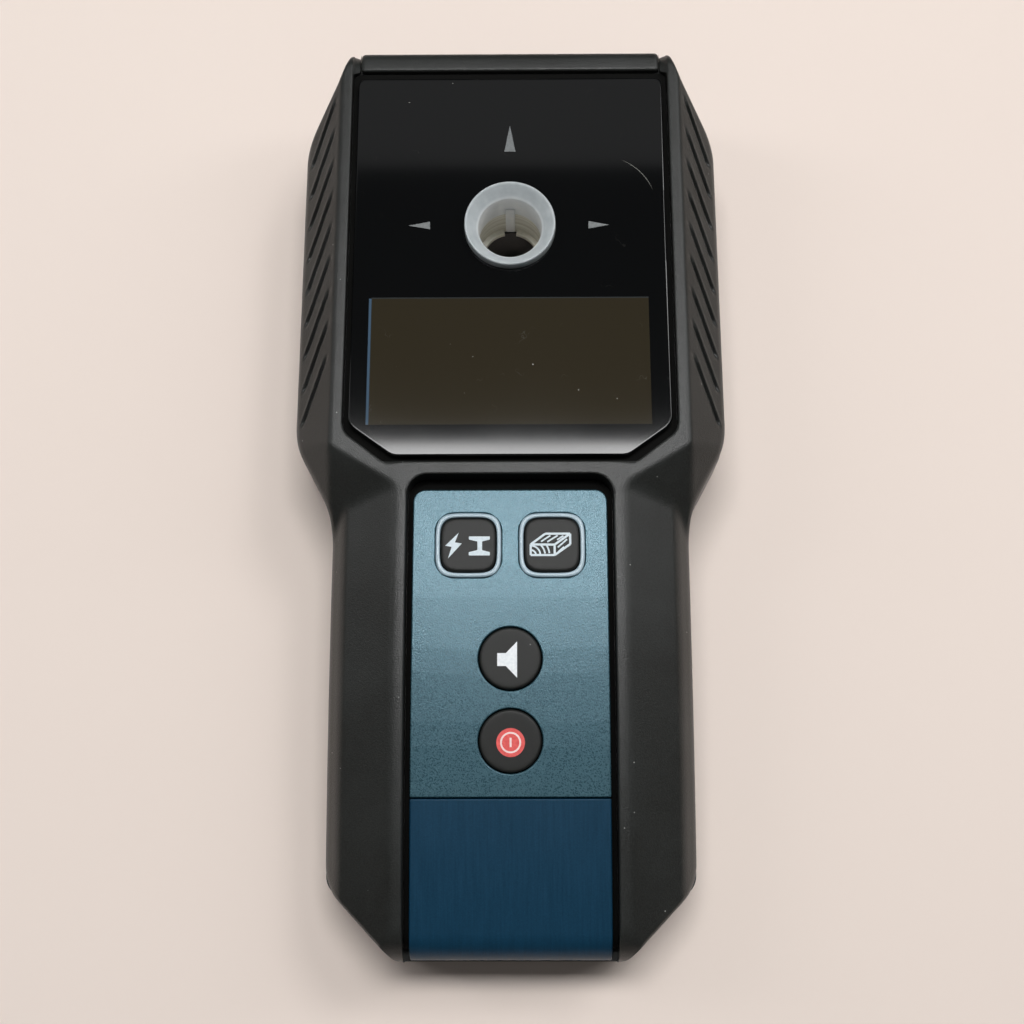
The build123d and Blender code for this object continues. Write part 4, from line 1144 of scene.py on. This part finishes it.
timber = {
    "corners": {"a": (-4.1, 0.0), "b": (-4.1, -2.1), "c": (0.5, -2.1), "d": (0.5, -0.05),
                "e": (-1.3, 2.1), "f": (3.5, 2.1), "g": (3.5, 0.05)},
    "edges": ("ab", "bc", "cg", "gf", "fe", "ea", "ad", "dc", "df"),
    "edgeLine": 0.42,
    "growthRings": ((1.0, 84), (1.85, 84), (2.75, 46), (3.6, 34)),  # radius about b, and last angle
    "ringLine": 0.32,
    "grain": (((-2.1, 0.55), (-0.3, 1.75)), ((-0.9, 0.5), (1.1, 1.75)), ((1.0, 0.9), (2.2, 1.7)),
              ((1.1, -0.6), (2.9, 1.0)), ((1.3, -1.4), (2.3, -0.5))),
    "grainLine": 0.3,
}
corner = timber["corners"]
beamLines = [stroke([corner[start], corner[end]], timber["edgeLine"]) for start, end in timber["edges"]]
beamLines += [
    stroke(arcPath(corner["b"], radius, 6, top, 14), timber["ringLine"])
    for radius, top in timber["growthRings"]
]
beamLines += [stroke(line, timber["grainLine"]) for line in timber["grain"]]
inlay("woodIcon", "wood_button", beamLines, iconInk)

horn = [(-2.46, 1.0), (-0.83, 1.0), (1.28, 3.17), (1.28, -3.65), (-0.83, -1.44), (-2.46, -1.44)]
inlay("soundIcon", "sound_button", [horn], soundInk)

dot = {
    "centre": (0.05, -0.3),
    "radius": 2.68,
    "ring": 1.8,
    "ringLine": 0.34,
    "bar": ((0.05, -1.15), (0.05, 0.6)),
    "barLine": 0.38,
}
inlay("powerDot", "power_button", [arcPath(dot["centre"], dot["radius"], 0, 352.5, 48)], powerInk)
powerLines = [
    stroke(arcPath(dot["centre"], dot["ring"], start, start + 180.5, 40), dot["ringLine"])
    for start in (0, 180)
]
powerLines.append(stroke(dot["bar"], dot["barLine"]))
inlay("powerMark", "power_button", powerLines, powerRing, 0.02)
print("icons done")

studio = {
    "floorHalf": 900.0,
    "world": 0.05,
    "lamps": [  # name, place, what it faces, size and power
        ("overhead", (0, 160, 1000), (0, 160, 0), (560, 220), 6.8),
        ("leftStrip", (-900, 260, 700), (0, 0, 0), (300, 600), 1.7),
        ("rightStrip", (900, 260, 700), (0, 0, 0), (300, 600), 1.9),
        ("keyLight", (1050, 900, 1800), (0, -40, 0), (560, 560), 10.0),
        ("topFill", (0, 640, 1000), (0, 40, 0), (1400, 150), 0.3),
        ("lowFill", (0, -1300, 1300), (0, 0, 0), (2400, 1200), 1.6),
    ],
}


def paleFloor(place):
    # matt warm white with a barely seen change of tone
    cloud = place.noise(180.0, 2.0)
    return {
        "Base Color": cloud.mix(paint(235, 221, 212), paint(238, 225, 216)),
        "Roughness": 0.9,
        "Specular IOR Level": 0.1,
    }


def makeFloor():
    half = studio["floorHalf"] * mm
    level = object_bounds()[0].z - 0.00002
    corners = [(-half, -half, level), (half, -half, level), (half, half, level), (-half, half, level)]
    mesh = bpy.data.meshes.new("floor")
    mesh.from_pydata(corners, [], [(0, 1, 2, 3)])
    mesh.materials.append(makeFinish("paleFloor", paleFloor))
    made = bpy.data.objects.new("floor", mesh)
    bpy.context.scene.collection.objects.link(made)


def areaLight(name, place, aim, size, power):
    # a rectangular lamp at place, in millimetres, that faces aim
    lamp = bpy.data.lights.new(name, "AREA")
    lamp.shape, lamp.size, lamp.size_y = "RECTANGLE", size[0] * mm, size[1] * mm
    lamp.energy = power
    made = bpy.data.objects.new(name, lamp)
    made.location = Vector(place) * mm
    made.rotation_euler = (Vector(aim) - Vector(place)).to_track_quat("-Z", "Y").to_euler()
    bpy.context.scene.collection.objects.link(made)


makeFloor()
for lampRow in studio["lamps"]:
    areaLight(*lampRow)
world = bpy.data.worlds.new("studio")
world.use_nodes = True
world.node_tree.nodes["Background"].inputs[0].default_value = (1.0, 0.98, 0.96, 1)
world.node_tree.nodes["Background"].inputs[1].default_value = studio["world"]
bpy.context.scene.world = world

view = {
    "place": (2.3, -131.3, 289.5),
    "turns": (15.26, 0.41, -0.16),  # degrees about X, Y and Z
    "lens": 49.22,
}
camera = bpy.data.cameras.new("camera")
camera.lens, camera.sensor_width = view["lens"], 36
cameraObject = bpy.data.objects.new("camera", camera)
cameraObject.location = Vector(view["place"]) * mm
tilt, swing, roll = [
    Matrix.Rotation(math.radians(angle), 3, axis) for angle, axis in zip(view["turns"], "XYZ")
]
cameraObject.rotation_euler = (tilt @ swing @ roll).to_euler()
camera.clip_start, camera.clip_end = 0.005, 20
bpy.context.scene.collection.objects.link(cameraObject)
bpy.context.scene.camera = cameraObject
bpy.context.scene.view_settings.view_transform = "Standard"
print("studio done")
